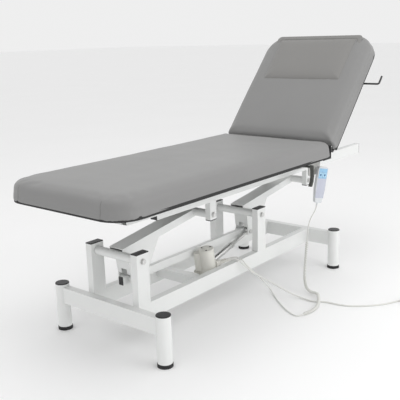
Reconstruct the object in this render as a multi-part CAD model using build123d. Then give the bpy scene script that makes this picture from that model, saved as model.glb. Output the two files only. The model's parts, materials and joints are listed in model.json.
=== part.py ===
from build123d import *
import os
from math import atan2, cos, degrees, hypot, pi, radians, sin, tan

# Electric examination couch: a two-section padded top on a parallelogram lift.
# Millimetres. While it is built, X starts at the foot legs' centre line and runs to the
# head, Y is 0 in the middle of the couch and Z is 0 on the floor. The whole couch is then
# moved so that the middle of its box stands on the origin.

# ---- base frame: welded rectangular tube ----
WALL = 2.0
LEG_SPAN_X = 1240.0
LEG_SPAN_Y = 538.0
LEG_D = 55.0
LEG_TOP = 195.0
LEG_CAP_T = 4.0
RUBBER_FOOT_H = 14.0
RUBBER_FOOT_D = 58.0
RAIL_BOTTOM = 115.0
RAIL_TOP = 180.0
RAIL_W = 30.0
RAIL_Y = 119.0
CROSS_RAIL_W = 32.0
POST_L = 62.0
POST_TOP = 378.0
POST_CAP_T = 4.0
CROSSMEMBER_X = 388.0
CROSSMEMBER_W = 34.0

# ---- lift: two equal arms, a tie rod and the pivots ----
FOOT_PIVOT_X = 50.0
ARM_PITCH = 762.0
PIVOT_Z = 346.0
ARM_DX = 424.0
ARM_DZ = 76.0
PIVOT_TUBE_D = 34.0
PIVOT_TUBE_WALL = 3.0
BOLT_D = 12.0
RUNNING_GAP = 0.05
OPEN_PIVOT_GAP = 0.10
BUSH_FLANGE_T = 1.2
BEAM_W = 70.0
BEAM_H = 30.0
BEAM_RISE_AT_PIVOT = 12.0
BEAM_DROP_AT_TOP = 2.0
PIN_DX = 53.0
PIN_DZ = -108.0
LEVER_T = 30.0
LEVER_TOP = (36.0, 6.0)
LEVER_FOOT = (50.0, -82.0)
LEVER_SLOT_W = 28.0
LEVER_SLOT_H = 20.0
GUSSET_T = 4.0
GUSSET_BEAM_X = 195.0
GUSSET_KNEE = (134.0, -76.0)
PIN_BOSS_R = 20.0
TIE_W = 20.0
TIE_H = 32.0
TIE_OVERHANG = 41.0
TIE_SLEEVE_D = 20.0
TUBE_CAP_T = 4.0

# ---- actuator ----
ACTUATOR_Y = -22.0
ACTUATOR_REAR = (466.0, 138.0)
OUTER_TUBE_D = 28.0
OUTER_TUBE_END = 280.0
ROD_D = 18.0
ROD_START = 180.0
ROD_EYE_D = 38.0
ROD_EYE_BORE = 26.0
ROD_EYE_W = 14.0
MOTOR_X = 516.0
MOTOR_Y = -61.0
MOTOR_D = 64.0
MOTOR_BOTTOM = 172.0
MOTOR_LEAN = 9.0
MOTOR_H = 88.0
GEARBOX_H = 40.0
FAIRING_X = -26.0
FAIRING_Y = 31.0
FAIRING_R = 15.0
FAIRING_H = 74.0
FAIRING_TURN = -50.0
TUBE_START = 92.0
NECK_D = 22.0
PLUG_D = 13.0
PLUG_BODY_L = 22.0
SLEEVE_TIP_D = 7.0
LEAD_PLUG_L = 48.0
BEND_GAP = 2.0
BEND_GAP_ABOVE = 4.5

# ---- top frame ----
FRAME_Y = 112.0
FRAME_W = 30.0
FRAME_BOTTOM = 477.0
FRAME_TOP = 527.0
FRAME_X0 = 138.0
FRAME_X1 = 1787.0
HANGER_L = 40.0
HANGER_W = 25.0
HANGER_BOTTOM = 402.0
SUBFRAME_Y = 200.0
SUBFRAME_W = 25.0

# ---- upholstery ----
PAD_W = 620.0
PAD_BOTTOM = 567.0
PAD_TOP = 642.0
BOARD_T = 12.0
BOARD_INSET = 8.0
SEAT_X0 = -216.0
FOOT_CORNER_R = 105.0
HINGE_X = 1140.0
HINGE_GAP = 7.0
EDGE_R = 24.0
BACK_LENGTH = 658.0
HEAD_CORNER_R = 115.0
CUSHION_X0 = 322.0
CUSHION_X1 = 634.0
CUSHION_W = 486.0
CUSHION_T = 20.0

# ---- backrest hinge and gas spring ----
BACK_ANGLE = 47.5
HINGE_KNUCKLE_D = 12.0
HINGE_PIN_D = 6.0
HINGE_Y = 286.0
LEAF_W = 14.0
LEAF_T = 4.0
GAS_ARM = 180.0
GAS_BACK_DROP_ANGLE = 21.5
GAS_FLAT_ANGLE = 66.0
GAS_Y = 66.0
GAS_CYLINDER_D = 22.0
GAS_ROD_D = 10.0
GAS_CYLINDER_L = 164.0
GAS_ROD_L = 163.0

# ---- paper roll rod, under the backrest ----
ROLL_ROD_X = 1551.0
ROLL_ROD_Z = 556.0
ROLL_ROD_D = 9.0
ROLL_ROD_REACH = 62.0
ROLL_ROD_TIP = 46.0
ROD_HOLE_D = 13.0

# ---- release lever of the gas spring ----
RELEASE_X = 990.0
RELEASE_Z = 546.0
RELEASE_Y = -292.0
RELEASE_SHAFT_D = 10.0
GRIP_W = 16.0
GRIP_T = 9.0

# ---- handset, hanging on its bracket under the near edge ----
HANDSET_TOP = (1068.0, -302.0, 534.0)
HANDSET_L = 166.0
HANDSET_W = 50.0
HANDSET_T = 24.0
HANDSET_TURN = -33.0
HANDSET_LEAN = 9.0
BRACKET_X0 = 1000.0
BRACKET_X1 = 1104.0
BRACKET_BOTTOM = 498.0
KEY_W = 17.0
KEY_H = 20.0
KEY_T = 2.4
KEY_DROP = 26.0

# ---- leads ----
MAINS_D = 6.5
LEAD_D = 5.0
CURLY_D = 14.0
COIL_MIDDLE_D = 76.0
COIL_SIDE = 3 * MAINS_D
COIL_CENTRE = (1040.8, -760.8)
PLUG_W = 35.0
PLUG_H = 14.0
PLUG_L = 36.0
PLUG_PIN_D = 4.0
PLUG_PIN_L = 19.0
PLUG_PIN_PITCH = 19.0

# ---- where the box's middle lies while the couch is built ----
BOX_MIDDLE_X = 785.5
BOX_MIDDLE_Y = -33.25

HINGE_Z = PAD_TOP - EDGE_R
HEAD_PIVOT_X = FOOT_PIVOT_X + ARM_PITCH


# ---------------------------------------------------------------- helpers

def block(x0, x1, y0, y1, z0, z1):
    """A box between two corners."""
    middle = Pos((x0 + x1) / 2, (y0 + y1) / 2, (z0 + z1) / 2)
    return middle * Box(x1 - x0, y1 - y0, z1 - z0)


def square_tube(x0, x1, y0, y1, z0, z1, along, wall=WALL):
    """A rectangular tube, open at both ends along one axis."""
    x_in = 0 if along == "x" else wall
    y_in = 0 if along == "y" else wall
    z_in = 0 if along == "z" else wall
    core = block(x0 + x_in, x1 - x_in, y0 + y_in, y1 - y_in, z0 + z_in, z1 - z_in)
    return block(x0, x1, y0, y1, z0, z1) - core


def bar(start, end, diameter):
    """A round bar from one point to another."""
    start = Vector(*start)
    run = Vector(*end) - start
    stock = Cylinder(diameter / 2, run.length, align=(Align.CENTER, Align.CENTER, Align.MIN))
    return Plane(origin=start, z_dir=run) * stock


def cross_bar(x, z, y0, y1, diameter):
    """A round bar along Y."""
    return bar((x, y0, z), (x, y1, z), diameter)


def plate(points, y0, y1):
    """A flat plate with an outline in XZ, from y0 to y1."""
    outline = Polyline(*[(x, y0, z) for x, z in points], close=True)
    return extrude(make_face(outline), amount=y1 - y0, dir=(0, 1, 0))


def hexagon(x, z, y0, y1, across_corners):
    """A hexagon head or nut whose axis is along Y."""
    face = Plane(origin=(x, y0, z), z_dir=(0, 1, 0)) * RegularPolygon(across_corners / 2, 6)
    return extrude(face, amount=y1 - y0, dir=(0, 1, 0))


def mirrored(shape):
    """The same piece on the far side of the couch."""
    return mirror(shape, about=Plane.XZ)


def both_sides(shape):
    """The piece and its mirror image, as separate solids."""
    return group(shape, mirrored(shape))


def solids(shape):
    """The solids of a shape, as a plain list."""
    return list(shape.solids())


def group(*shapes):
    """Several pieces as separate solids of one node."""
    return Compound(children=[s for shape in shapes for s in solids(shape)])


# ---------------------------------------------------------------- base

def legs():
    shapes = []
    for x in (0.0, LEG_SPAN_X):
        for y in (-LEG_SPAN_Y / 2, LEG_SPAN_Y / 2):
            bottom = (x, y, RUBBER_FOOT_H)
            top = (x, y, LEG_TOP - LEG_CAP_T)
            shapes.append(bar(bottom, top, LEG_D) - bar(bottom, top, LEG_D - 2 * WALL))
    return shapes


def leg_caps():
    shapes = []
    for x in (0.0, LEG_SPAN_X):
        for y in (-LEG_SPAN_Y / 2, LEG_SPAN_Y / 2):
            cap = bar((x, y, LEG_TOP - LEG_CAP_T), (x, y, LEG_TOP), LEG_D - 0.4)
            cap = fillet(cap.edges().group_by(Axis.Z)[-1], 2.0)
            plug = bar((x, y, LEG_TOP - 16), (x, y, LEG_TOP - LEG_CAP_T), LEG_D - 2 * WALL - 0.6)
            shapes.append(cap + plug)
    return group(*shapes)


def rubber_feet():
    shapes = []
    for x in (0.0, LEG_SPAN_X):
        for y in (-LEG_SPAN_Y / 2, LEG_SPAN_Y / 2):
            foot = bar((x, y, 0), (x, y, RUBBER_FOOT_H), RUBBER_FOOT_D)
            foot = fillet(foot.edges().group_by(Axis.Z)[-1], 3.0)
            plug = bar((x, y, RUBBER_FOOT_H - 1), (x, y, RUBBER_FOOT_H + 14), LEG_D - 2 * WALL - 0.6)
            shapes.append(foot + plug)
    return group(*shapes)


def cross_rail(x):
    """A rail from leg to leg, its ends cut to the round legs."""
    half = LEG_SPAN_Y / 2
    rail = square_tube(
        x - CROSS_RAIL_W / 2, x + CROSS_RAIL_W / 2, -half, half, RAIL_BOTTOM, RAIL_TOP, "y"
    )
    for y in (-half, half):
        rail -= bar((x, y, 0), (x, y, LEG_TOP), LEG_D)
    return rail


def long_rail():
    start = CROSS_RAIL_W / 2
    y0 = -RAIL_Y - RAIL_W / 2
    return square_tube(start, LEG_SPAN_X - start, y0, y0 + RAIL_W, RAIL_BOTTOM, RAIL_TOP, "x")


def post(x):
    """One post with the hole for its pivot bolt."""
    y0 = -RAIL_Y - RAIL_W / 2
    tube = square_tube(
        x - POST_L / 2, x + POST_L / 2, y0, y0 + RAIL_W, RAIL_TOP, POST_TOP - POST_CAP_T, "z"
    )
    return tube - cross_bar(x, PIVOT_Z, y0 - 1, y0 + RAIL_W + 1, BOLT_D)


def rect_cap(x0, x1, y0, y1, z0, z1, plug_down):
    """A plastic cap for a rectangular tube: a lid with a plug under it or above it."""
    lid = block(x0, x1, y0, y1, z0, z1)
    inset = WALL + 0.2
    if plug_down:
        lid = fillet(lid.edges().group_by(Axis.Z)[-1], 1.2)
        plug = block(x0 + inset, x1 - inset, y0 + inset, y1 - inset, z0 - 10, z0)
    else:
        lid = fillet(lid.edges().group_by(Axis.Z)[0], 1.2)
        plug = block(x0 + inset, x1 - inset, y0 + inset, y1 - inset, z1, z1 + 10)
    return lid + plug


def post_cap(x):
    y0 = -RAIL_Y - RAIL_W / 2
    return rect_cap(
        x - POST_L / 2, x + POST_L / 2, y0, y0 + RAIL_W, POST_TOP - POST_CAP_T, POST_TOP, True
    )


def pivot_bolt(x, z, outer_y, inner_y):
    """A shoulder bolt from the outside of a post or hanger into the pivot tube's bush."""
    shank = cross_bar(x, z, outer_y, inner_y, BOLT_D)
    washer = cross_bar(x, z, outer_y - 1.5, outer_y, 24)
    head = hexagon(x, z, outer_y - 8.5, outer_y - 1.5, 20)
    return shank + washer + head


def crossmember():
    y1 = RAIL_Y - RAIL_W / 2
    x0 = CROSSMEMBER_X - CROSSMEMBER_W / 2
    return square_tube(x0, x0 + CROSSMEMBER_W, -y1, y1, RAIL_TOP - 40, RAIL_TOP, "y")


def actuator_clevis():
    """Two welded ears behind the crossmember, which carry the actuator's rear bolt."""
    rear_x, rear_z = ACTUATOR_REAR
    face = CROSSMEMBER_X + CROSSMEMBER_W / 2
    outline = [(face, RAIL_TOP), (face, RAIL_TOP - 40)]
    outline += [(rear_x, rear_z - 15), (rear_x, rear_z + 15)]
    ears = []
    for y in (ACTUATOR_Y - 17, ACTUATOR_Y + 12):
        ear = plate(outline, y, y + 5) + cross_bar(rear_x, rear_z, y, y + 5, 30)
        ears.append(ear - cross_bar(rear_x, rear_z, y - 1, y + 6, BOLT_D))
    return group(*ears)


def clevis_bolt():
    rear_x, rear_z = ACTUATOR_REAR
    y0, y1 = ACTUATOR_Y - 17, ACTUATOR_Y + 17
    shank = cross_bar(rear_x, rear_z, y0 - 1, y1 + 1, BOLT_D)
    return shank + hexagon(rear_x, rear_z, y0 - 8, y0, 20) + hexagon(rear_x, rear_z, y1, y1 + 9, 20)


# ---------------------------------------------------------------- lift arms

def round_tube(x, z, half_length):
    outer = cross_bar(x, z, -half_length, half_length, PIVOT_TUBE_D)
    bore = PIVOT_TUBE_D - 2 * PIVOT_TUBE_WALL
    return outer - cross_bar(x, z, -half_length - 1, half_length + 1, bore)


def arm_bushes(x, z, half_length, gap):
    """The flanged nylon bush in each end of a pivot tube."""
    bore = PIVOT_TUBE_D - 2 * PIVOT_TUBE_WALL
    sleeve = cross_bar(x, z, -half_length, -half_length + 22, bore)
    flange = cross_bar(x, z, -half_length - BUSH_FLANGE_T, -half_length, PIVOT_TUBE_D - 2)
    hole = cross_bar(x, z, -half_length - 3, -half_length + 23, BOLT_D + 2 * gap)
    return both_sides(sleeve + flange - hole)


POST_INSIDE = RAIL_Y - RAIL_W / 2
HANGER_Y = FRAME_Y + (FRAME_W - HANGER_W) / 2
HANGER_INSIDE = HANGER_Y - HANGER_W / 2
PIVOT_TUBE_HALF = POST_INSIDE - BUSH_FLANGE_T - 0.3
TOP_TUBE_HALF = HANGER_INSIDE - BUSH_FLANGE_T - 0.3


def beam(x):
    """The box beam between the pivot tube and the top tube, coped to both."""
    start = Vector(x, 0, PIVOT_Z + BEAM_RISE_AT_PIVOT)
    end = Vector(x + ARM_DX, 0, PIVOT_Z + ARM_DZ - BEAM_DROP_AT_TOP)
    run = end - start
    middle = (start + end) * 0.5
    tilt = -degrees(atan2(run.Z, run.X))
    box = Box(run.length, BEAM_W, BEAM_H)
    box -= Box(run.length + 2, BEAM_W - 2 * WALL, BEAM_H - 2 * WALL)
    box = Pos(middle.X, middle.Y, middle.Z) * Rot(0, tilt, 0) * box
    box -= cross_bar(x, PIVOT_Z, -BEAM_W, BEAM_W, PIVOT_TUBE_D)
    box -= cross_bar(x + ARM_DX, PIVOT_Z + ARM_DZ, -BEAM_W, BEAM_W, PIVOT_TUBE_D)
    return max(solids(box), key=lambda s: s.volume)


def beam_underside(x_local):
    """Height of the beam's lower face above the pivot's axis, at a distance from it."""
    slope = (ARM_DZ - BEAM_DROP_AT_TOP - BEAM_RISE_AT_PIVOT) / ARM_DX
    return BEAM_RISE_AT_PIVOT - BEAM_H / 2 * hypot(1, slope) + slope * x_local


LEVER_RUN = Vector(LEVER_FOOT[0] - LEVER_TOP[0], 0, LEVER_FOOT[1] - LEVER_TOP[1]).normalized()
LEVER_ACROSS = Vector(-LEVER_RUN.Z, 0, LEVER_RUN.X)


def lever_point(down, across):
    """A point of the lever's side outline: down its centre line, then across it."""
    p = Vector(LEVER_TOP[0], 0, LEVER_TOP[1]) + LEVER_RUN * down + LEVER_ACROSS * across
    return p.X, p.Z


LEVER_LENGTH = hypot(LEVER_FOOT[0] - LEVER_TOP[0], LEVER_FOOT[1] - LEVER_TOP[1])


def lever(x):
    """The downward lever: a box tube under the beam, slotted at its foot for the tie rod."""
    half = LEVER_T / 2
    outer = [lever_point(-20, -half), lever_point(-20, half)]
    outer += [lever_point(LEVER_LENGTH, half), lever_point(LEVER_LENGTH, -half)]
    half -= WALL
    inner = [lever_point(-21, -half), lever_point(-21, half)]
    inner += [lever_point(LEVER_LENGTH + 1, half), lever_point(LEVER_LENGTH + 1, -half)]
    shape = plate(outer, -BEAM_W / 2, BEAM_W / 2)
    shape -= plate(inner, -BEAM_W / 2 + WALL, BEAM_W / 2 - WALL)
    far = LEVER_LENGTH - LEVER_SLOT_H
    slot = [lever_point(far, -30), lever_point(far, 30)]
    slot += [lever_point(LEVER_LENGTH + 5, 30), lever_point(LEVER_LENGTH + 5, -30)]
    shape -= plate(slot, -LEVER_SLOT_W / 2, LEVER_SLOT_W / 2)
    above = [(0, beam_underside(0)), (200, beam_underside(200)), (200, 100), (0, 100)]
    shape -= plate(above, -BEAM_W, BEAM_W)
    shape = Pos(x, 0, PIVOT_Z) * shape
    shape -= cross_bar(x, PIVOT_Z, -BEAM_W, BEAM_W, PIVOT_TUBE_D)
    return max(solids(shape), key=lambda s: s.volume)


def gussets(x):
    """The two side plates that brace beam and lever and carry the lower pin."""
    half = LEVER_T / 2
    corner = lever_point(0, half)
    outline = [(corner[0], beam_underside(corner[0])), (GUSSET_BEAM_X, beam_underside(GUSSET_BEAM_X))]
    outline += [GUSSET_KNEE, (PIN_DX + 14, PIN_DZ - 14), (PIN_DX, PIN_DZ), (PIN_DX - 19, PIN_DZ + 6)]
    outline += [lever_point(LEVER_LENGTH, -half), lever_point(LEVER_LENGTH, half)]
    side = plate(outline, -BEAM_W / 2, -BEAM_W / 2 + GUSSET_T)
    side += cross_bar(PIN_DX, PIN_DZ, -BEAM_W / 2, -BEAM_W / 2 + GUSSET_T, 2 * PIN_BOSS_R)
    side -= cross_bar(PIN_DX, PIN_DZ, -BEAM_W, 0, BOLT_D)
    lever_side = [lever_point(-20, -half), lever_point(-20, half)]
    lever_side += [lever_point(LEVER_LENGTH, half), lever_point(LEVER_LENGTH, -half)]
    side -= plate(lever_side, -BEAM_W, BEAM_W)
    side = max(solids(side), key=lambda s: s.volume)
    return both_sides(Pos(x, 0, PIVOT_Z) * side)


def lever_pin(x):
    """The long bolt through the gussets, with a head and a nut."""
    pin_x, pin_z = x + PIN_DX, PIVOT_Z + PIN_DZ
    half = BEAM_W / 2
    shank = cross_bar(pin_x, pin_z, -half - 1, half + 1, BOLT_D)
    return shank + hexagon(pin_x, pin_z, -half - 7, -half, 20) + hexagon(pin_x, pin_z, half, half + 9, 20)


TIE_X0 = FOOT_PIVOT_X + PIN_DX - TIE_OVERHANG
TIE_X1 = HEAD_PIVOT_X + PIN_DX + TIE_OVERHANG
TIE_Z = PIVOT_Z + PIN_DZ


def tie_rod():
    z0 = TIE_Z - TIE_H / 2
    tube = square_tube(
        TIE_X0 + TUBE_CAP_T, TIE_X1 - TUBE_CAP_T, -TIE_W / 2, TIE_W / 2, z0, z0 + TIE_H, "x"
    )
    reach = BEAM_W / 2 - GUSSET_T - 0.4
    foot_x, head_x = FOOT_PIVOT_X + PIN_DX, HEAD_PIVOT_X + PIN_DX
    tube += cross_bar(foot_x, TIE_Z, -reach, reach, TIE_SLEEVE_D)
    tube += cross_bar(head_x, TIE_Z, -TIE_W / 2 - 2, reach, TIE_SLEEVE_D)
    tube -= cross_bar(foot_x, TIE_Z, -BEAM_W, BEAM_W, BOLT_D + 2 * OPEN_PIVOT_GAP)
    return tube - cross_bar(head_x, TIE_Z, -BEAM_W, BEAM_W, BOLT_D + 2 * RUNNING_GAP)


def tube_end_cap(x_face, outward, y0, y1, z0, z1):
    """A cap on the end of a tube that runs along X."""
    lid_x = sorted((x_face, x_face + outward * TUBE_CAP_T))
    lid = block(lid_x[0], lid_x[1], y0, y1, z0, z1)
    lid = fillet(lid.edges().group_by(Axis.X)[-1 if outward > 0 else 0], 1.2)
    inset = WALL + 0.2
    plug_x = sorted((x_face, x_face - outward * 10))
    return lid + block(plug_x[0], plug_x[1], y0 + inset, y1 - inset, z0 + inset, z1 - inset)


def tie_rod_caps():
    span = (-TIE_W / 2, TIE_W / 2, TIE_Z - TIE_H / 2, TIE_Z + TIE_H / 2)
    return group(
        tube_end_cap(TIE_X0 + TUBE_CAP_T, -1, *span), tube_end_cap(TIE_X1 - TUBE_CAP_T, 1, *span)
    )


# ---------------------------------------------------------------- actuator

EYE_X = HEAD_PIVOT_X + PIN_DX
EYE_Z = TIE_Z
ACTUATOR_LENGTH = hypot(EYE_X - ACTUATOR_REAR[0], EYE_Z - ACTUATOR_REAR[1])
ACTUATOR_RUN = Vector(EYE_X - ACTUATOR_REAR[0], 0, EYE_Z - ACTUATOR_REAR[1]).normalized()


def on_actuator(distance):
    """A point on the actuator's axis, from its rear bolt."""
    rear = Vector(ACTUATOR_REAR[0], ACTUATOR_Y, ACTUATOR_REAR[1])
    p = rear + ACTUATOR_RUN * distance
    return p.X, p.Y, p.Z


MOTOR_AXIS = Vector(-sin(radians(MOTOR_LEAN)), 0, cos(radians(MOTOR_LEAN)))
MOTOR_FOOT = Vector(MOTOR_X, MOTOR_Y, MOTOR_BOTTOM)


def motor_plane(along=0.0):
    """A plane across the motor's axis, at a height above the gearbox."""
    lean = radians(MOTOR_LEAN)
    origin = MOTOR_FOOT + MOTOR_AXIS * along
    return Plane(origin=origin, x_dir=(cos(lean), 0, sin(lean)), z_dir=MOTOR_AXIS)


def upright(radius, low, high, x=0.0, y=0.0):
    """A round column along the motor's axis, beside it by x and y."""
    column = Cylinder(radius, high - low, align=(Align.CENTER, Align.CENTER, Align.MIN))
    return motor_plane(low) * Pos(x, y, 0) * column


def motor_housing():
    can = upright(MOTOR_D / 2, 0, MOTOR_H)
    return fillet(can.edges().sort_by(Axis.Z)[-1], 4.0)


def actuator_gearbox():
    """The gear housing: a foot under the motor, a fairing beside it and the rear ear."""
    reach_y = ACTUATOR_Y - MOTOR_Y
    shape = upright(MOTOR_D / 2 + 2, -GEARBOX_H, 0)
    neck = motor_plane(-GEARBOX_H) * Pos(2, reach_y, 0) * RectangleRounded(58, 34, 12)
    shape += extrude(neck, GEARBOX_H, dir=MOTOR_AXIS)
    fairing = upright(FAIRING_R, -6, FAIRING_H, FAIRING_X, FAIRING_Y)
    web = Box(30, 2 * FAIRING_R, FAIRING_H + 6, align=(Align.CENTER, Align.CENTER, Align.MIN))
    fairing += motor_plane(-6) * Pos(FAIRING_X / 2, FAIRING_Y / 2, 0) * Rot(0, 0, FAIRING_TURN) * web
    fairing -= upright(MOTOR_D / 2 + 0.5, 0, MOTOR_H + 5)
    shape += max(solids(fairing), key=lambda s: s.volume)
    shape += bar(on_actuator(24), on_actuator(TUBE_START), OUTER_TUBE_D + 10)
    shape += bar(on_actuator(8), on_actuator(30), NECK_D)
    shape += cross_bar(*ACTUATOR_REAR, ACTUATOR_Y - 11.5, ACTUATOR_Y + 11.5, 28)
    shape -= cross_bar(*ACTUATOR_REAR, ACTUATOR_Y - 20, ACTUATOR_Y + 20, BOLT_D + 2 * RUNNING_GAP)
    socket_x, socket_y = MOTOR_X + 20, MOTOR_Y - 30
    socket_z = MOTOR_BOTTOM - 18
    socket = block(socket_x, socket_x + 28, socket_y, socket_y + 44, socket_z, socket_z + 40)
    return shape + (socket - upright(MOTOR_D / 2 + 0.5, 0, MOTOR_H + 5))


def spindle_tube():
    """The outer tube that guides the push rod, with its front gland."""
    tube = bar(on_actuator(TUBE_START), on_actuator(OUTER_TUBE_END), OUTER_TUBE_D)
    gland = bar(on_actuator(OUTER_TUBE_END - 14), on_actuator(OUTER_TUBE_END), OUTER_TUBE_D + 2)
    bore = bar(on_actuator(TUBE_START + 6), on_actuator(OUTER_TUBE_END + 1), ROD_D + 2 * RUNNING_GAP)
    return tube + gland - bore


def actuator_rod():
    """The push rod and its eye, whose roomy bore takes up the swing of the lever's pin."""
    rod = bar(on_actuator(ROD_START), on_actuator(ACTUATOR_LENGTH - ROD_EYE_D / 2 + 2), ROD_D)
    half = ROD_EYE_W / 2
    eye = cross_bar(EYE_X, EYE_Z, ACTUATOR_Y - half, ACTUATOR_Y + half, ROD_EYE_D)
    return rod + eye - cross_bar(EYE_X, EYE_Z, ACTUATOR_Y - 20, ACTUATOR_Y + 20, ROD_EYE_BORE)


# ---------------------------------------------------------------- top frame

def frame_tubes():
    y0 = -FRAME_Y - FRAME_W / 2
    tube = square_tube(
        FRAME_X0 + TUBE_CAP_T, FRAME_X1 - TUBE_CAP_T, y0, y0 + FRAME_W, FRAME_BOTTOM, FRAME_TOP, "x"
    )
    return both_sides(tube)


HANGER_XS = (FOOT_PIVOT_X + ARM_DX, HEAD_PIVOT_X + ARM_DX)


def hangers():
    shapes = []
    for x in HANGER_XS:
        y0 = -HANGER_Y - HANGER_W / 2
        span = (x - HANGER_L / 2, x + HANGER_L / 2, y0, y0 + HANGER_W)
        tube = square_tube(*span, HANGER_BOTTOM, FRAME_BOTTOM, "z")
        hole = cross_bar(x, PIVOT_Z + ARM_DZ, y0 - 1, y0 + HANGER_W + 1, BOLT_D)
        shapes.append(both_sides(tube - hole))
    return group(*shapes)


def top_frame_caps():
    """The caps on the ends of the frame tubes and under the hangers."""
    y0 = -FRAME_Y - FRAME_W / 2
    span = (y0, y0 + FRAME_W, FRAME_BOTTOM, FRAME_TOP)
    shapes = [tube_end_cap(FRAME_X0 + TUBE_CAP_T, -1, *span)]
    shapes.append(tube_end_cap(FRAME_X1 - TUBE_CAP_T, 1, *span))
    y0 = -HANGER_Y - HANGER_W / 2
    for x in HANGER_XS:
        span = (x - HANGER_L / 2, x + HANGER_L / 2, y0, y0 + HANGER_W)
        shapes.append(rect_cap(*span, HANGER_BOTTOM - TUBE_CAP_T, HANGER_BOTTOM, False))
    return group(*[both_sides(shape) for shape in shapes])


def hanger_bolts():
    outer = -HANGER_Y - HANGER_W / 2
    bolts = [pivot_bolt(x, PIVOT_Z + ARM_DZ, outer, -TOP_TUBE_HALF + 18) for x in HANGER_XS]
    return group(*[both_sides(bolt) for bolt in bolts])


def seat_subframe():
    """The ladder under the seat board: two rails with crossbars on the frame tubes."""
    z1 = PAD_BOTTOM
    z0 = FRAME_TOP
    x1 = HINGE_X - HINGE_GAP - 3
    y0 = -SUBFRAME_Y - SUBFRAME_W / 2
    shapes = [both_sides(square_tube(SEAT_X0 + 120, x1, y0, y0 + SUBFRAME_W, z0, z1, "x"))]
    for x in (SEAT_X0 + 120, 150, 560, 900, x1 - SUBFRAME_W):
        inner = SUBFRAME_Y - SUBFRAME_W / 2
        shapes.append(square_tube(x, x + SUBFRAME_W, -inner, inner, z0, z1, "y"))
    release_hole = cross_bar(RELEASE_X, RELEASE_Z, y0 - 1, y0 + SUBFRAME_W + 1, ROD_HOLE_D)
    return group(*[shape - release_hole for shape in shapes])


GAS_FRAME_ANGLE = -(GAS_BACK_DROP_ANGLE + GAS_FLAT_ANGLE)


def around_hinge(angle):
    """A point at the gas spring's radius from the backrest's hinge, in X and Z."""
    return HINGE_X + GAS_ARM * cos(radians(angle)), HINGE_Z + GAS_ARM * sin(radians(angle))


GAS_FOOT = around_hinge(GAS_FRAME_ANGLE)
GAS_HEAD = around_hinge(BACK_ANGLE - GAS_BACK_DROP_ANGLE)
GAS_HEAD_FLAT = around_hinge(-GAS_BACK_DROP_ANGLE)


def gas_clevis(points, x, z):
    """Two ears with an outline in XZ around one end of the gas spring, and its bolt."""
    ears = []
    for y in (GAS_Y - 18, GAS_Y + 14):
        ear = plate(points, y, y + 4) + cross_bar(x, z, y, y + 4, 24)
        ears.append(ear)
    bolt = cross_bar(x, z, GAS_Y - 22, GAS_Y + 22, 8)
    return ears[0] + ears[1] + bolt


def gas_crossbar():
    """The bar between the frame tubes with the gas spring's lower clevis."""
    inner = FRAME_Y - FRAME_W / 2
    x0, x1 = HINGE_X - 38, HINGE_X - 13
    z0, z1 = FRAME_BOTTOM + 5, FRAME_TOP - 5
    shape = square_tube(x0, x1, -inner, inner, z0, z1, "y")
    outline = [(x0, z0), (x1, z0), (GAS_FOOT[0] + 12, GAS_FOOT[1]), (GAS_FOOT[0] - 12, GAS_FOOT[1])]
    return shape + gas_clevis(outline, *GAS_FOOT)


def seat_board():
    z0 = PAD_BOTTOM
    inset = BOARD_INSET
    half = PAD_W / 2 - inset
    x1 = HINGE_X - HINGE_GAP - inset
    board = block(SEAT_X0 + inset, x1, -half, half, z0, z0 + BOARD_T)
    corners = board.edges().filter_by(Axis.Z).group_by(Axis.X)[0]
    return fillet(corners, FOOT_CORNER_R - inset)


def seat_pad():
    half = PAD_W / 2
    pad = block(SEAT_X0, HINGE_X - HINGE_GAP, -half, half, PAD_BOTTOM, PAD_TOP)
    pad = fillet(pad.edges().filter_by(Axis.Z).group_by(Axis.X)[0], FOOT_CORNER_R)
    pad = fillet(pad.edges().group_by(Axis.Z)[-1], EDGE_R - 0.5)
    pad = fillet(pad.edges().group_by(Axis.Z)[0], 6)
    return pad - seat_board()


def hinge_leaf(side, y0):
    """An L-shaped leaf with its knuckle; side is -1 on the seat and 1 on the backrest."""
    near = HINGE_X + side * (HINGE_GAP - LEAF_T)
    far = HINGE_X + side * HINGE_GAP
    end = HINGE_X + side * 70
    x_up = sorted((near, far))
    x_flat = sorted((near, end))
    leaf = block(*x_up, y0, y0 + LEAF_W, PAD_BOTTOM - LEAF_T, HINGE_Z)
    leaf += block(*x_flat, y0, y0 + LEAF_W, PAD_BOTTOM - LEAF_T, PAD_BOTTOM)
    return leaf + cross_bar(HINGE_X, HINGE_Z, y0, y0 + LEAF_W, HINGE_KNUCKLE_D)


def seat_hinge_leaves():
    y0 = -HINGE_Y - LEAF_W
    leaf = hinge_leaf(-1, y0)
    leaf -= cross_bar(HINGE_X, HINGE_Z, y0 - 1, -HINGE_Y + 1, HINGE_PIN_D)
    return both_sides(leaf)


def hinge_pins():
    pin = cross_bar(HINGE_X, HINGE_Z, -HINGE_Y - LEAF_W, -HINGE_Y + LEAF_W + 0.3, HINGE_PIN_D)
    return both_sides(pin)


# ---------------------------------------------------------------- backrest, built flat

def raised(shape):
    """A piece of the backrest, built flat, at the angle where the couch is kept."""
    hinge = Axis((HINGE_X, 0, HINGE_Z), (0, -1, 0))
    return shape.rotate(hinge, BACK_ANGLE)


BACK_X0 = HINGE_X + HINGE_GAP


def back_hinge_leaves():
    y0 = -HINGE_Y + 0.3
    leaf = hinge_leaf(1, y0)
    leaf -= cross_bar(HINGE_X, HINGE_Z, y0 - 1, y0 + LEAF_W + 1, HINGE_PIN_D + 2 * RUNNING_GAP)
    return both_sides(leaf)


def back_board():
    inset = BOARD_INSET
    half = PAD_W / 2 - inset
    x1 = BACK_X0 + BACK_LENGTH - inset
    board = block(BACK_X0 + inset, x1, -half, half, PAD_BOTTOM, PAD_BOTTOM + BOARD_T)
    corners = board.edges().filter_by(Axis.Z).group_by(Axis.X)[-1]
    return fillet(corners, HEAD_CORNER_R - inset)


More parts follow.
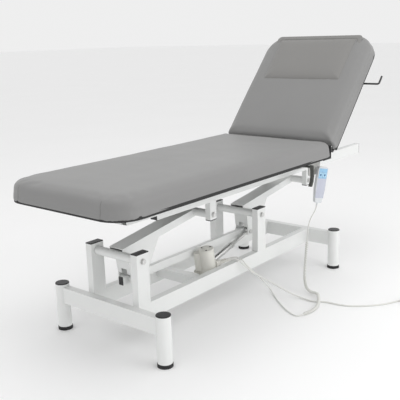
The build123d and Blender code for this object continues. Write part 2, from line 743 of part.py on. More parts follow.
def back_pad():
    half = PAD_W / 2
    pad = block(BACK_X0, BACK_X0 + BACK_LENGTH, -half, half, PAD_BOTTOM, PAD_TOP)
    pad = fillet(pad.edges().filter_by(Axis.Z).group_by(Axis.X)[-1], HEAD_CORNER_R)
    pad = fillet(pad.edges().group_by(Axis.Z)[-1], EDGE_R - 0.5)
    pad = fillet(pad.edges().group_by(Axis.Z)[0], 6)
    return pad - back_board()


def head_cushion():
    half = CUSHION_W / 2
    cushion = block(BACK_X0 + CUSHION_X0, BACK_X0 + CUSHION_X1, -half, half, PAD_TOP, PAD_TOP + CUSHION_T)
    cushion = fillet(cushion.edges().filter_by(Axis.Z), 22)
    return fillet(cushion.edges().group_by(Axis.Z)[-1], 9)


def back_subframe():
    """The ladder under the back board, with the gas spring's upper clevis and rod tabs."""
    z0, z1 = FRAME_TOP + 2, PAD_BOTTOM
    x0, x1 = BACK_X0 + 14, BACK_X0 + BACK_LENGTH - 70
    inner = SUBFRAME_Y - SUBFRAME_W / 2
    rail = square_tube(x0, x1, -inner - SUBFRAME_W, -inner, z0, z1, "x")
    rail -= cross_bar(ROLL_ROD_X, ROLL_ROD_Z, -inner - SUBFRAME_W - 1, -inner + 1, ROD_HOLE_D)
    head_x, head_z = GAS_HEAD_FLAT
    bar_x = head_x + 22
    shapes = [both_sides(rail)]
    front = square_tube(bar_x, bar_x + SUBFRAME_W, -inner, inner, z0, z1, "y")
    outline = [(bar_x, z0), (bar_x, z1), (head_x, head_z + 10), (head_x, head_z - 10)]
    shapes.append(front + gas_clevis(outline, head_x, head_z))
    shapes.append(square_tube(x1 - SUBFRAME_W, x1, -inner, inner, z0, z1, "y"))
    return group(*shapes)


def roll_rod_sleeves():
    """The two sleeves under the board that the paper roll's rod slides in."""
    x, z = ROLL_ROD_X, ROLL_ROD_Z
    shapes = []
    for y in (-PAD_W / 2 + 20, PAD_W / 2 - 50):
        sleeve = cross_bar(x, z, y, y + 30, ROLL_ROD_D + 6)
        sleeve += block(x - 9, x + 9, y, y + 30, z + 4, PAD_BOTTOM)
        shapes.append(sleeve - cross_bar(x, z, y - 1, y + 31, ROLL_ROD_D + 2 * RUNNING_GAP))
    return group(*shapes)


def roll_rod():
    """The straight rod for a paper roll, with its end bent up beside the couch."""
    x, z = ROLL_ROD_X, ROLL_ROD_Z
    tip_y = -PAD_W / 2 - ROLL_ROD_REACH
    start = (x, PAD_W / 2 - 24, z)
    path = FilletPolyline(start, (x, tip_y, z), (x + ROLL_ROD_TIP, tip_y, z), radius=9)
    face = Plane(origin=start, z_dir=(0, -1, 0)) * Circle(ROLL_ROD_D / 2)
    return sweep(face, path)


# ---------------------------------------------------------------- gas spring

def toward(start, end, distance):
    """A point in XZ on the way from start to end."""
    dx, dz = end[0] - start[0], end[1] - start[1]
    share = distance / hypot(dx, dz)
    return start[0] + dx * share, start[1] + dz * share


def gas_point(distance):
    x, z = toward(GAS_FOOT, GAS_HEAD, distance)
    return x, GAS_Y, z


def gas_cylinder():
    """The pressure tube and its lower eye."""
    half = 12
    eye = cross_bar(*GAS_FOOT, GAS_Y - half, GAS_Y + half, 18)
    shape = eye + bar(gas_point(6), gas_point(18), 14)
    shape += bar(gas_point(16), gas_point(16 + GAS_CYLINDER_L), GAS_CYLINDER_D)
    shape -= cross_bar(*GAS_FOOT, GAS_Y - 20, GAS_Y + 20, 8 + 2 * RUNNING_GAP)
    return shape - bar(gas_point(30), gas_point(20 + GAS_CYLINDER_L), GAS_ROD_D + 2 * RUNNING_GAP)


def gas_rod():
    """The piston rod, its upper eye and the release pin's housing."""
    length = hypot(GAS_HEAD[0] - GAS_FOOT[0], GAS_HEAD[1] - GAS_FOOT[1])
    half = 12
    shape = cross_bar(*GAS_HEAD, GAS_Y - half, GAS_Y + half, 18)
    shape += bar(gas_point(length - 14), gas_point(length - 5), 14)
    shape += bar(gas_point(length - GAS_ROD_L), gas_point(length - 12), GAS_ROD_D)
    return shape - cross_bar(*GAS_HEAD, GAS_Y - 20, GAS_Y + 20, 8 + 2 * RUNNING_GAP)


# ---------------------------------------------------------------- release lever and handset

def release_lever():
    """A cross shaft under the seat with a crank in the middle and a curved grip outside."""
    shape = cross_bar(RELEASE_X, RELEASE_Z, RELEASE_Y, GAS_Y, RELEASE_SHAFT_D)
    crank = [(-8, 2), (8, 2), (4, -26), (-4, -26)]
    shape += plate([(RELEASE_X + x, RELEASE_Z + z) for x, z in crank], GAS_Y - 5, GAS_Y)
    line = [(-3, 8), (4, -18), (4, -42), (-2, -68), (-12, -86)]
    front = [(RELEASE_X + x - GRIP_T / 2, RELEASE_Z + z) for x, z in line]
    back = [(RELEASE_X + x + GRIP_T / 2, RELEASE_Z + z) for x, z in reversed(line)]
    return shape + plate(front + back, RELEASE_Y, RELEASE_Y + GRIP_W)


HANDSET_FRAME = Pos(*HANDSET_TOP) * Rot(0, 0, HANDSET_TURN) * Rot(0, HANDSET_LEAN, 0)
PANEL_HALF = 21.0
PANEL_TOP = -6.0
PANEL_FOOT = -0.86 * HANDSET_L
KEY_PITCH = KEY_W / 2 + 1.5


def key_wells(depth):
    """The two openings around the keys, in the handset's frame: -Y points out of its face."""
    half = KEY_W / 2 + 0.5
    low, high = -KEY_DROP - KEY_H - 0.5, -KEY_DROP + 0.5
    wells = [block(x - half, x + half, -2, depth, low, high) for x in (-KEY_PITCH, KEY_PITCH)]
    return wells[0] + wells[1]


def handset_shell():
    """The handset's body, narrower at the foot, with the lead's sleeve under it."""
    half = HANDSET_W / 2
    waist = -HANDSET_L * 0.62
    outline = [(-half, 0), (half, 0), (half, waist), (half - 8, -HANDSET_L), (8 - half, -HANDSET_L)]
    body = plate(outline + [(-half, waist)], 0, HANDSET_T)
    body = fillet(body.edges().filter_by(Axis.Y), 7)
    body = fillet(body.edges().group_by(Axis.Y)[0], 2.5)
    body = fillet(body.edges().group_by(Axis.Y)[-1], 5)
    sleeve = Cone(LEAD_D / 2 + 2.5, LEAD_D / 2 + 0.5, 16, align=(Align.CENTER, Align.CENTER, Align.MIN))
    body += Plane(origin=(0, HANDSET_T / 2, 2 - HANDSET_L), z_dir=(0, 0, -1)) * sleeve
    body -= block(-PANEL_HALF, PANEL_HALF, -1, 0.8, PANEL_FOOT, PANEL_TOP)
    return HANDSET_FRAME * (body - key_wells(4))


def handset_keypad():
    """The printed panel in the handset's face, cut out around the two keys."""
    panel = block(0.2 - PANEL_HALF, PANEL_HALF - 0.2, 0, 0.8, PANEL_FOOT + 0.2, PANEL_TOP - 0.2)
    return HANDSET_FRAME * (panel - key_wells(4))


def handset_key(side):
    """One key; it stands a little out of the panel and has its travel behind it."""
    x = side * KEY_PITCH
    key = block(x - KEY_W / 2, x + KEY_W / 2, -0.6, KEY_T - 0.6, -KEY_DROP - KEY_H, -KEY_DROP)
    return HANDSET_FRAME * fillet(key.edges().filter_by(Axis.Y), 3)


def handset_bracket():
    """The bracket under the seat board with the peg that the handset hangs on."""
    y0 = HANDSET_TOP[1] + 40
    edge = -SUBFRAME_Y - SUBFRAME_W / 2 - 4
    shape = block(BRACKET_X0, BRACKET_X1, y0, edge, PAD_BOTTOM - 4, PAD_BOTTOM)
    face = block(BRACKET_X0, BRACKET_X1, y0, y0 + 4, BRACKET_BOTTOM, PAD_BOTTOM)
    face = fillet(face.edges().filter_by(Axis.Y).group_by(Axis.Z)[0], 16)
    peg = bar((0, HANDSET_T + 0.2, -22), (0, HANDSET_T + 24, -22), 10)
    return shape + face + HANDSET_FRAME * peg


# ---------------------------------------------------------------- leads

def corner_radii(points):
    """The largest tangent arc at each corner of a lead's route."""
    radii = []
    for before, corner, after in zip(points, points[1:], points[2:]):
        run_in, run_out = corner - before, after - corner
        turn = run_in.get_angle(run_out)
        radii.append(0.45 * min(run_in.length, run_out.length) / tan(radians(turn) / 2))
    return radii


def lead_tube(name, route, diameter):
    """A lead along its route: straight runs joined by tangent arcs."""
    points = [Vector(*p) for p in route]
    radii = corner_radii(points)
    path = FilletPolyline(*points, radius=radii)
    face = Plane(origin=points[0], z_dir=points[1] - points[0]) * Circle(diameter / 2)
    tube = sweep(face, path)
    share = tube.volume / (pi * diameter**2 / 4 * path.length)
    print(f"{name}: length {path.length:.0f}, smallest radius {min(radii):.0f}, volume {share:.4f}")
    print("  radii", [round(radius) for radius in radii])
    return tube


MAINS_ROUTE = [
    (600, -112, 190),
    (610, -119.8, 192.5),
    (619, -133, 193),
    (628, -149, 182),
    (643, -161, 159),
    (668, -171, 133),
    (700, -182, 107),
    (731, -200, 83),
    (753, -230, 61),
    (765, -265, 42),
    (777, -299, 25),
    (793, -331, 10),
    (799, -364, 3.5),
    (794, -396, 3.3),
    (803, -424, 3.4),
    (820, -447, 3.3),
    (826, -477, 3.4),
    (827, -512, 3.3),
    (839, -552, 3.4),
    (865, -592, 3.3),
    (901, -632, 3.4),
    (945, -668, 3.3),
    (1000, -696, 3.4),
    (1057.5, -721.5, 3.3),
]

MAINS_TAIL_ROUTE = [
    (1058.9, -720.1, 16.2),
    (1080, -730, 14.6),
    (1101, -740.5, 9.8),
    (1122, -750, 7),
    (1146, -760.5, 7),
]

HANDSET_DROP_ROUTE = [
    (1050.9, -276.6, 356.2),
    (1049, -275.4, 341.9),
    (1040, -271, 324),
    (1024, -263, 301),
    (1009, -259, 267),
    (998, -264, 233),
    (988, -266, 203),
]

CURLY_DROP_ROUTE = [
    (988, -266, 203),
    (972, -271, 158),
    (951, -280, 115),
    (927, -291, 76),
    (900, -307, 43),
    (879, -327, 20),
    (870, -352, 11),
]

CURLY_FLOOR_ROUTE = [
    (870, -364, 11),
    (869.5, -378, 11.5),
    (858, -396, 14.5),
    (834, -413, 19),
    (795, -437, 19),
    (762, -451, 9),
    (728, -457.5, 7.1),
    (694, -456.5, 7),
    (663, -450, 7.1),
    (646, -446, 7),
]

HANDSET_TAIL_ROUTE = [
    (646, -446, 7),
    (633, -440, 4.5),
    (626, -428, 2.8),
    (628, -411, 2.6),
    (638, -389, 2.7),
    (656, -357, 2.6),
    (688, -315, 2.7),
    (722, -274, 2.6),
    (752, -242, 2.7),
    (774, -217, 3.6),
    (786, -199, 11),
    (784, -186, 28),
    (768, -177, 50),
    (744, -170, 77),
    (716, -164, 104),
    (686, -159, 132),
    (660, -153, 160),
    (648, -146, 181),
    (640, -131, 193),
    (628, -113, 195),
    (614, -99, 192),
    (602, -90, 189),
]


def lead_plug(tip, beyond):
    """A plug in the actuator's socket in line with its lead, with a tapered sleeve."""
    tip = Vector(*tip)
    run = (Vector(*beyond) - tip).normalized()
    start = tip - run * LEAD_PLUG_L
    body_end = start + run * PLUG_BODY_L
    sleeve_l = LEAD_PLUG_L - PLUG_BODY_L
    sleeve = Cone(PLUG_D / 2 - 2, SLEEVE_TIP_D / 2, sleeve_l, align=(Align.CENTER, Align.CENTER, Align.MIN))
    return bar(start, body_end, PLUG_D) + Plane(origin=body_end, z_dir=run) * sleeve


def plug_socket(tip, beyond):
    """The recess that a plug sits in, with a little play."""
    tip = Vector(*tip)
    run = (Vector(*beyond) - tip).normalized()
    start = tip - run * (LEAD_PLUG_L + 0.3)
    return bar(start, start + run * (PLUG_BODY_L + 0.3), PLUG_D + 0.6)


def plug_sockets():
    """The recesses for both plugs."""
    mains = plug_socket(MAINS_ROUTE[0], MAINS_ROUTE[1])
    return mains + plug_socket(HANDSET_TAIL_ROUTE[-1], HANDSET_TAIL_ROUTE[-2])


def lead_plugs():
    """The plugs of the mains lead and of the handset's lead, in the socket block."""
    mains = lead_plug(MAINS_ROUTE[0], MAINS_ROUTE[1])
    return group(mains, lead_plug(HANDSET_TAIL_ROUTE[-1], HANDSET_TAIL_ROUTE[-2]))


def mains_coil():
    """The outer shape of the wound part of the mains lead."""
    middle, half = COIL_MIDDLE_D / 2, COIL_SIDE / 2
    ring = Cylinder(middle + half, COIL_SIDE) - Cylinder(middle - half, COIL_SIDE)
    return Pos(*COIL_CENTRE, half) * ring


def mains_plug():
    """A flat two-pin plug on the floor at the end of the mains lead."""
    end, before = Vector(*MAINS_TAIL_ROUTE[-1]), Vector(*MAINS_TAIL_ROUTE[-2])
    run = Vector(end.X - before.X, end.Y - before.Y, 0).normalized()
    floor_plane = Plane(origin=end, x_dir=run, z_dir=(0, 0, 1))
    body = Pos(26 + PLUG_L / 2, 0, 0) * Box(PLUG_L, PLUG_W, PLUG_H - 0.2)
    body = fillet(body.edges().filter_by(Axis.Z).group_by(Axis.X)[0], 12)
    body = fillet(body.edges().filter_by(Axis.Z).group_by(Axis.X)[-1], 5)
    sleeve = Cone(SLEEVE_TIP_D / 2, 5.5, 30, align=(Align.CENTER, Align.CENTER, Align.MIN))
    body += Plane(origin=(0, 0, 0), z_dir=(1, 0, 0)) * sleeve
    for y in (-PLUG_PIN_PITCH / 2, PLUG_PIN_PITCH / 2):
        body += bar((24 + PLUG_L, y, 0), (26 + PLUG_L + PLUG_PIN_L, y, 0), PLUG_PIN_D)
    return floor_plane * body


def mains_lead():
    """The lead to the coil and its last stretch to the plug."""
    ring = mains_coil()
    run = lead_tube("mains lead", MAINS_ROUTE, MAINS_D) - ring
    tail = lead_tube("mains tail", MAINS_TAIL_ROUTE, MAINS_D) - ring
    return group(max(solids(run), key=lambda s: s.volume), max(solids(tail), key=lambda s: s.volume))


def curly_lead():
    """The hanging part: the thin lead under the handset, then the curly part."""
    thin = lead_tube("handset drop", HANDSET_DROP_ROUTE, LEAD_D)
    return group(thin, lead_tube("curly drop", CURLY_DROP_ROUTE, CURLY_D))


def curly_lead_bend():
    """The short piece of the curly part that lies still where it meets the floor."""
    x, y, z = CURLY_DROP_ROUTE[-1]
    return bar((x, y - BEND_GAP_ABOVE, z), (x, CURLY_FLOOR_ROUTE[0][1] + BEND_GAP, z), CURLY_D)


def handset_lead():
    """The part on the floor: the rest of the curly part, then the thin lead to its plug."""
    curly = lead_tube("curly on the floor", CURLY_FLOOR_ROUTE, CURLY_D)
    return group(curly, lead_tube("handset tail", HANDSET_TAIL_ROUTE, LEAD_D))


parts = {}


def add(node, shape):
    """Keep a finished piece under its node's name."""
    parts[node] = Pos(-BOX_MIDDLE_X, -BOX_MIDDLE_Y, 0) * shape


add("legs", group(*legs()))
add("leg_caps", leg_caps())
add("rubber_feet", rubber_feet())
add("cross_rails", group(cross_rail(0.0), cross_rail(LEG_SPAN_X)))
add("base_rails", both_sides(long_rail()))
add("posts", group(both_sides(post(FOOT_PIVOT_X)), both_sides(post(HEAD_PIVOT_X))))
add("post_caps", group(both_sides(post_cap(FOOT_PIVOT_X)), both_sides(post_cap(HEAD_PIVOT_X))))
outer_y = -RAIL_Y - RAIL_W / 2
inner_y = -PIVOT_TUBE_HALF + 18
add("pivot_bolts", group(*[
    both_sides(pivot_bolt(x, PIVOT_Z, outer_y, inner_y)) for x in (FOOT_PIVOT_X, HEAD_PIVOT_X)
]))
add("actuator_crossmember", crossmember())
add("actuator_clevis", actuator_clevis())
add("clevis_bolt", clevis_bolt())
for side, x in (("foot", FOOT_PIVOT_X), ("head", HEAD_PIVOT_X)):
    top_gap = RUNNING_GAP if side == "foot" else OPEN_PIVOT_GAP
    add(f"{side}_arm_tubes", group(
        round_tube(x, PIVOT_Z, PIVOT_TUBE_HALF), round_tube(x + ARM_DX, PIVOT_Z + ARM_DZ, TOP_TUBE_HALF)
    ))
    add(f"{side}_arm_bushes", group(
        arm_bushes(x, PIVOT_Z, PIVOT_TUBE_HALF, RUNNING_GAP),
        arm_bushes(x + ARM_DX, PIVOT_Z + ARM_DZ, TOP_TUBE_HALF, top_gap),
    ))
    add(f"{side}_arm_beam", beam(x))
    add(f"{side}_arm_lever", lever(x))
    add(f"{side}_arm_gussets", gussets(x))
    add(f"{side}_arm_pin", lever_pin(x))
add("tie_rod", tie_rod())
add("tie_rod_caps", tie_rod_caps())
add("motor_housing", motor_housing())
add("actuator_gearbox", actuator_gearbox() - plug_sockets())
add("spindle_tube", spindle_tube())
add("lead_plugs", lead_plugs())
add("actuator_rod", actuator_rod())
add("frame_tubes", frame_tubes())
add("top_frame_caps", top_frame_caps())
add("hangers", hangers())
add("hanger_bolts", hanger_bolts())
add("seat_subframe", seat_subframe())
add("gas_crossbar", gas_crossbar())
add("seat_board", seat_board())
add("seat_pad", seat_pad())
add("seat_hinge_leaves", seat_hinge_leaves())
add("hinge_pins", hinge_pins())
add("handset_bracket", handset_bracket())
add("handset_shell", handset_shell())
add("handset_keypad", handset_keypad())
add("key_up", handset_key(-1))
add("key_down", handset_key(1))
add("release_lever", release_lever())
add("back_subframe", raised(group(back_subframe(), roll_rod_sleeves())))
add("back_board", raised(back_board()))
add("back_pad", raised(back_pad()))
add("head_cushion", raised(head_cushion()))
add("back_hinge_leaves", raised(back_hinge_leaves()))
add("roll_rod", raised(roll_rod()))
add("gas_cylinder", gas_cylinder())
add("gas_rod", gas_rod())
add("mains_lead", mains_lead())
add("mains_coil", mains_coil())
add("mains_plug", mains_plug())
add("curly_lead", curly_lead())
add("curly_lead_bend", curly_lead_bend())
add("handset_lead", handset_lead())

os.makedirs("parts", exist_ok=True)
for node, shape in parts.items():
    export_step(shape, f"parts/{node}.step")
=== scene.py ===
"""Visual model of a two-section electric examination couch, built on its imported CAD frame.

Everything is in metres in the CAD model's own frame. The sizes below are in millimetres in the
frame in which the couch was drawn: X from the foot legs to the head, Y from the middle, Z up.
"""

from __future__ import annotations

import json
import logging
import math
from dataclasses import dataclass, field
from enum import Enum
from typing import Callable, Iterable, Sequence

import bmesh
import bpy
from mathutils import Matrix, Vector, noise

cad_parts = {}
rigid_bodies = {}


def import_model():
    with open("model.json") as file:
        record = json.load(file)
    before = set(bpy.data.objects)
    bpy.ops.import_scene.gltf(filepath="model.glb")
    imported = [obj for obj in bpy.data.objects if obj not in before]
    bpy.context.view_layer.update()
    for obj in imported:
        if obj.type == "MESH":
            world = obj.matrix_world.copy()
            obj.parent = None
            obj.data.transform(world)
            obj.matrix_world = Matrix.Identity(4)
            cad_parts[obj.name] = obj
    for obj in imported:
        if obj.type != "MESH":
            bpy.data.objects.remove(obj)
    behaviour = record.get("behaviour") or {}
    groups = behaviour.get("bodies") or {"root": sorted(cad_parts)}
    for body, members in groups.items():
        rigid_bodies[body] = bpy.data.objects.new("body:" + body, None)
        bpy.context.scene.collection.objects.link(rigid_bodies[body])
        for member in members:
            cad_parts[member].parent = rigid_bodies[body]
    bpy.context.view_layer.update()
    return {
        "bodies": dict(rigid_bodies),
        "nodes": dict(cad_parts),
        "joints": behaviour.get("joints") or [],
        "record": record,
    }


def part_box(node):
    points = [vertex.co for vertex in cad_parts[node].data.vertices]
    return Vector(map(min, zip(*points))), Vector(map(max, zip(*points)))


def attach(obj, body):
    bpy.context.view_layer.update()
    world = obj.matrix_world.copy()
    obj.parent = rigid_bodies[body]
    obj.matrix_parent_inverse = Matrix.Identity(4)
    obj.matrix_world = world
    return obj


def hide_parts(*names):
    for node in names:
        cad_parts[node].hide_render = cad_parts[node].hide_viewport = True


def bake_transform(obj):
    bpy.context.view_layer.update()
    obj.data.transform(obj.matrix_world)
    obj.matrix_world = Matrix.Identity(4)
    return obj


log = logging.getLogger("couch")
MM = 0.001
LEG_MIDDLE_X = 620.0
Point = tuple[float, float, float]


class Drawing:
    """The frame in which the couch was drawn, found again from where its legs stand."""

    def __init__(self) -> None:
        """Read the legs' box and keep the drawing's origin."""
        low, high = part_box("legs")
        middle = (low + high) / 2
        self.origin = Vector((middle.x - LEG_MIDDLE_X * MM, middle.y, 0.0))

    def at(self, x: float, y: float, z: float) -> Vector:
        """Give a drawn point its place in the row frame.

        Args:
            x: distance towards the head, in millimetres.
            y: distance from the middle, in millimetres.
            z: height above the floor, in millimetres.

        Returns:
            The point in metres.
        """
        return self.origin + Vector((x, y, z)) * MM

    def route(self, points: Iterable[Point]) -> list[Vector]:
        """Give each point of a lead's route its place in the row frame."""
        return [self.at(*p) for p in points]


# ------------------------------------------------------------------ shader maths


class Wire:
    """A socket whose arithmetic adds Math nodes."""

    def __init__(self, bench: "Bench", socket: bpy.types.NodeSocket) -> None:
        """Keep the socket and the bench that it belongs to."""
        self.bench = bench
        self.socket = socket

    def _math(self, operation: str, first: "Wire | float", second: "Wire | float") -> "Wire":
        """Add one Math node.

        Args:
            operation: the node's operation.
            first: its first value.
            second: its second value.

        Returns:
            The node's result.
        """
        return self.bench.wire("ShaderNodeMath", "Value", {"operation": operation}, {0: first, 1: second})

    def __add__(self, other: "Wire | float") -> "Wire":
        """Add a value."""
        return self._math("ADD", self, other)

    def __radd__(self, other: float) -> "Wire":
        """Add to a number."""
        return self._math("ADD", other, self)

    def __sub__(self, other: "Wire | float") -> "Wire":
        """Take a value away."""
        return self._math("SUBTRACT", self, other)

    def __rsub__(self, other: float) -> "Wire":
        """Take this away from a number."""
        return self._math("SUBTRACT", other, self)

    def __mul__(self, other: "Wire | float") -> "Wire":
        """Multiply by a value."""
        return self._math("MULTIPLY", self, other)

    def __rmul__(self, other: float) -> "Wire":
        """Multiply a number."""
        return self._math("MULTIPLY", other, self)


Feed = Wire | float | tuple[float, ...]


class Bench:
    """One material's node tree, with one way to add a node."""

    def __init__(self, name: str) -> None:
        """Start an empty material."""
        self.material = bpy.data.materials.new(name)
        self.material.use_nodes = True
        self.tree = self.material.node_tree
        self.tree.nodes.clear()

    def node(self, kind: str, settings: dict | None = None, feeds: dict | None = None) -> bpy.types.Node:
        """Add a node, with its settings first and its sockets after them.

        Args:
            kind: the node's type.
            settings: its properties; "stops" holds a colour ramp's positions and colours.
            feeds: a value or a wire for each socket, by name or number.

        Returns:
            The new node.
        """
        made = self.tree.nodes.new(kind)
        for name, value in (settings or {}).items():
            if name == "stops":
                ramp = made.color_ramp.elements
                while len(ramp) < len(value):
                    ramp.new(0.5)
                for stop, (position, colour) in zip(ramp, value):
                    stop.position = position
                    stop.color = colour
            else:
                setattr(made, name, value)
        for name, feed in (feeds or {}).items():
            if isinstance(feed, Wire):
                self.tree.links.new(feed.socket, made.inputs[name])
            else:
                made.inputs[name].default_value = feed
        return made

    def wire(self, kind: str, output: str, settings: dict | None = None, feeds: dict | None = None) -> Wire:
        """Add a node and give one of its outputs as a wire."""
        return Wire(self, self.node(kind, settings, feeds).outputs[output])

    def place(self) -> Wire:
        """Give the position on the piece, in metres."""
        return self.wire("ShaderNodeTexCoord", "Object")

    def clouds(self, scale: float, detail: float = 3.0, stretch: Point = (1.0, 1.0, 1.0)) -> Wire:
        """Give soft noise.

        Args:
            scale: cells per metre.
            detail: octaves.
            stretch: scale along each axis.

        Returns:
            The noise, from 0 to 1.
        """
        where = self.wire("ShaderNodeMapping", "Vector", None, {"Vector": self.place(), "Scale": stretch})
        feeds = {"Vector": where, "Scale": scale, "Detail": detail}
        return self.wire("ShaderNodeTexNoise", "Fac", None, feeds)

    def cells(self, scale: float) -> Wire:
        """Give the distance to the edge of irregular cells, for grain."""
        return self.wire(
            "ShaderNodeTexVoronoi", "Distance", {"feature": "DISTANCE_TO_EDGE"},
            {"Vector": self.place(), "Scale": scale},
        )

    def tint(self, mask: Wire, low: tuple[float, ...], high: tuple[float, ...]) -> Wire:
        """Mix two colours by a mask.

        Args:
            mask: from 0 to 1.
            low: the colour at 0.
            high: the colour at 1.

        Returns:
            The mixed colour.
        """
        stops = [(0.0, (*low, 1.0)), (1.0, (*high, 1.0))]
        return self.wire("ShaderNodeValToRGB", "Color", {"stops": stops}, {"Fac": mask})

    def bump(self, height: Wire, strength: float, distance: float, under: Wire | None = None) -> Wire:
        """Turn a height into a normal.

        Args:
            height: the height's pattern.
            strength: how much of it shows.
            distance: its depth in metres.
            under: another normal below this one.

        Returns:
            The normal.
        """
        feeds: dict = {"Height": height, "Strength": strength, "Distance": distance}
        if under is not None:
            feeds["Normal"] = under
        return self.wire("ShaderNodeBump", "Normal", None, feeds)

    def finish(self, feeds: dict) -> bpy.types.Material:
        """Close the tree with one Principled shader and give the material."""
        shader = self.wire("ShaderNodeBsdfPrincipled", "BSDF", None, feeds)
        self.node("ShaderNodeOutputMaterial", None, {"Surface": shader})
        return self.material


# ------------------------------------------------------------------ finishes


@dataclass(frozen=True)
class Finish:
    """A finish with a colour that wanders a little and a fine bump."""

    name: str
    colour: tuple[float, float, float]
    roughness: float = 0.5
    metallic: float = 0.0
    coat: float = 0.0
    wander: float = 0.06
    wander_scale: float = 14.0
    relief: float = 0.15
    relief_scale: float = 900.0
    relief_depth: float = 0.0001

    def shade(self, factor: float) -> tuple[float, float, float]:
        """Give the finish's colour, lighter or darker."""
        return tuple(min(1.0, part * factor) for part in self.colour)

    def build(self) -> bpy.types.Material:
        """Make the material."""
        bench = Bench(self.name)
        patches = bench.clouds(self.wander_scale)
        feeds = {
            "Base Color": bench.tint(patches, self.shade(1 - self.wander), self.shade(1 + self.wander)),
            "Roughness": bench.clouds(self.wander_scale * 4) * 0.12 + (self.roughness - 0.06),
            "Metallic": self.metallic,
            "Coat Weight": self.coat,
            "Coat Roughness": 0.18,
            "Normal": bench.bump(bench.clouds(self.relief_scale, 2.0), self.relief, self.relief_depth),
        }
        return bench.finish(feeds)


@dataclass(frozen=True)
class Leatherette(Finish):
    """Coated upholstery fabric: fine irregular grain, faint rubbed patches and a soft sheen."""

    grain: float = 1050.0

    def build(self) -> bpy.types.Material:
        """Make the material."""
        bench = Bench(self.name)
        worn = bench.clouds(5.0, 4.0)
        fine = bench.clouds(420.0, 2.0)
        patches = worn * 0.75 + fine * 0.25
        colour = bench.tint(patches, self.shade(1 - self.wander), self.shade(1 + self.wander))
        swell = bench.bump(bench.clouds(9.0, 2.0, (1.0, 0.35, 1.0)), 0.22, 0.004)
        grain = bench.bump(bench.cells(self.grain), 0.28, 0.00022, swell)
        feeds = {
            "Base Color": colour,
            "Roughness": bench.clouds(7.0) * 0.1 + (self.roughness - 0.05) + fine * 0.05,
            "Sheen Weight": 0.12,
            "Sheen Roughness": 0.45,
            "Coat Weight": self.coat,
            "Coat Roughness": 0.32,
            "Normal": bench.bump(fine, 0.1, 0.00015, grain),
        }
        return bench.finish(feeds)


@dataclass(frozen=True)
class BrushedSteel(Finish):
    """Bright steel with fine lines around or along the piece."""

    lines: Point = (0.04, 1.0, 1.0)

    def build(self) -> bpy.types.Material:
        """Make the material."""
        bench = Bench(self.name)
        scratches = bench.clouds(2600.0, 2.0, self.lines)
        feeds = {
            "Base Color": bench.tint(scratches, self.shade(0.9), self.shade(1.06)),
            "Roughness": scratches * 0.16 + (self.roughness - 0.08),
            "Metallic": 1.0,
            "Normal": bench.bump(scratches, 0.12, 0.00005),
        }
        return bench.finish(feeds)


class Look(Enum):
    """The couch's finishes."""

    ENAMEL = Finish("white_powder_coat", (0.80, 0.81, 0.80), 0.36, coat=0.35, wander=0.015,
                    relief=0.22, relief_scale=750.0, relief_depth=0.00012)
    UPHOLSTERY = Leatherette("soft_grey_leatherette", (0.238, 0.237, 0.235), 0.5, coat=0.06, wander=0.05)
    CUSHION = Leatherette("grey_leatherette_cushion", (0.222, 0.218, 0.211), 0.5, coat=0.06, wander=0.06)
    SEAM = Finish("dark_seam_thread", (0.12, 0.118, 0.115), 0.8, relief=0.5, relief_scale=2500.0)
    # The boards' near-black is partly their black underlining and partly painted shadow under the pads'
    # overhang.
    LINING = Finish("dark_board_lining", (0.03, 0.03, 0.03), 0.85, relief=0.5, relief_scale=1300.0)
    BLACK_CAP = Finish("black_cap_plastic", (0.018, 0.018, 0.02), 0.42, relief=0.25, relief_scale=1400.0)
    RUBBER = Finish("moulded_black_rubber", (0.016, 0.016, 0.017), 0.7, relief=0.3, relief_scale=1100.0)
    BLACK_STEEL = Finish("black_painted_steel", (0.02, 0.02, 0.021), 0.38, coat=0.2, relief=0.15)
    BRIGHT_STEEL = BrushedSteel("bright_zinc_steel", (0.66, 0.66, 0.65), 0.3)
    SPINDLE = BrushedSteel("polished_spindle_tube", (0.72, 0.72, 0.71), 0.2, lines=(0.05, 1.0, 1.0))
    NYLON = Finish("dark_nylon_bush", (0.045, 0.042, 0.04), 0.5)
    MOTOR = Finish("warm_white_motor_plastic", (0.74, 0.73, 0.68), 0.38, wander=0.03,
                   relief=0.3, relief_scale=1700.0)
    GRIP = Finish("dark_grey_grip", (0.085, 0.088, 0.08), 0.6, relief=0.4, relief_scale=1500.0)
    BRACKET = Finish("grey_bracket_plastic", (0.52, 0.52, 0.50), 0.5)
    HANDSET = Finish("handset_shell_plastic", (0.70, 0.72, 0.74), 0.4, relief=0.25, relief_scale=1800.0)
    FILM = Finish("handset_panel_film", (0.54, 0.56, 0.65), 0.32, coat=0.3, relief=0.1)
    LABEL = Finish("blue_label_film", (0.30, 0.54, 0.76), 0.28, coat=0.4, relief=0.08)
    KEY = Finish("pale_blue_key", (0.42, 0.68, 0.86), 0.3, coat=0.3, relief=0.1)
    ARROW = Finish("dark_blue_arrow", (0.03, 0.10, 0.28), 0.4)
    SHEATH = Finish("pale_grey_lead_sheath", (0.72, 0.72, 0.69), 0.42, wander=0.03,
                    relief=0.12, relief_scale=1500.0)

    def material(self) -> bpy.types.Material:
        """Give this finish's material, made once."""
        found = bpy.data.materials.get(self.value.name)
        return found or self.value.build()


# ------------------------------------------------------------------ mesh helpers


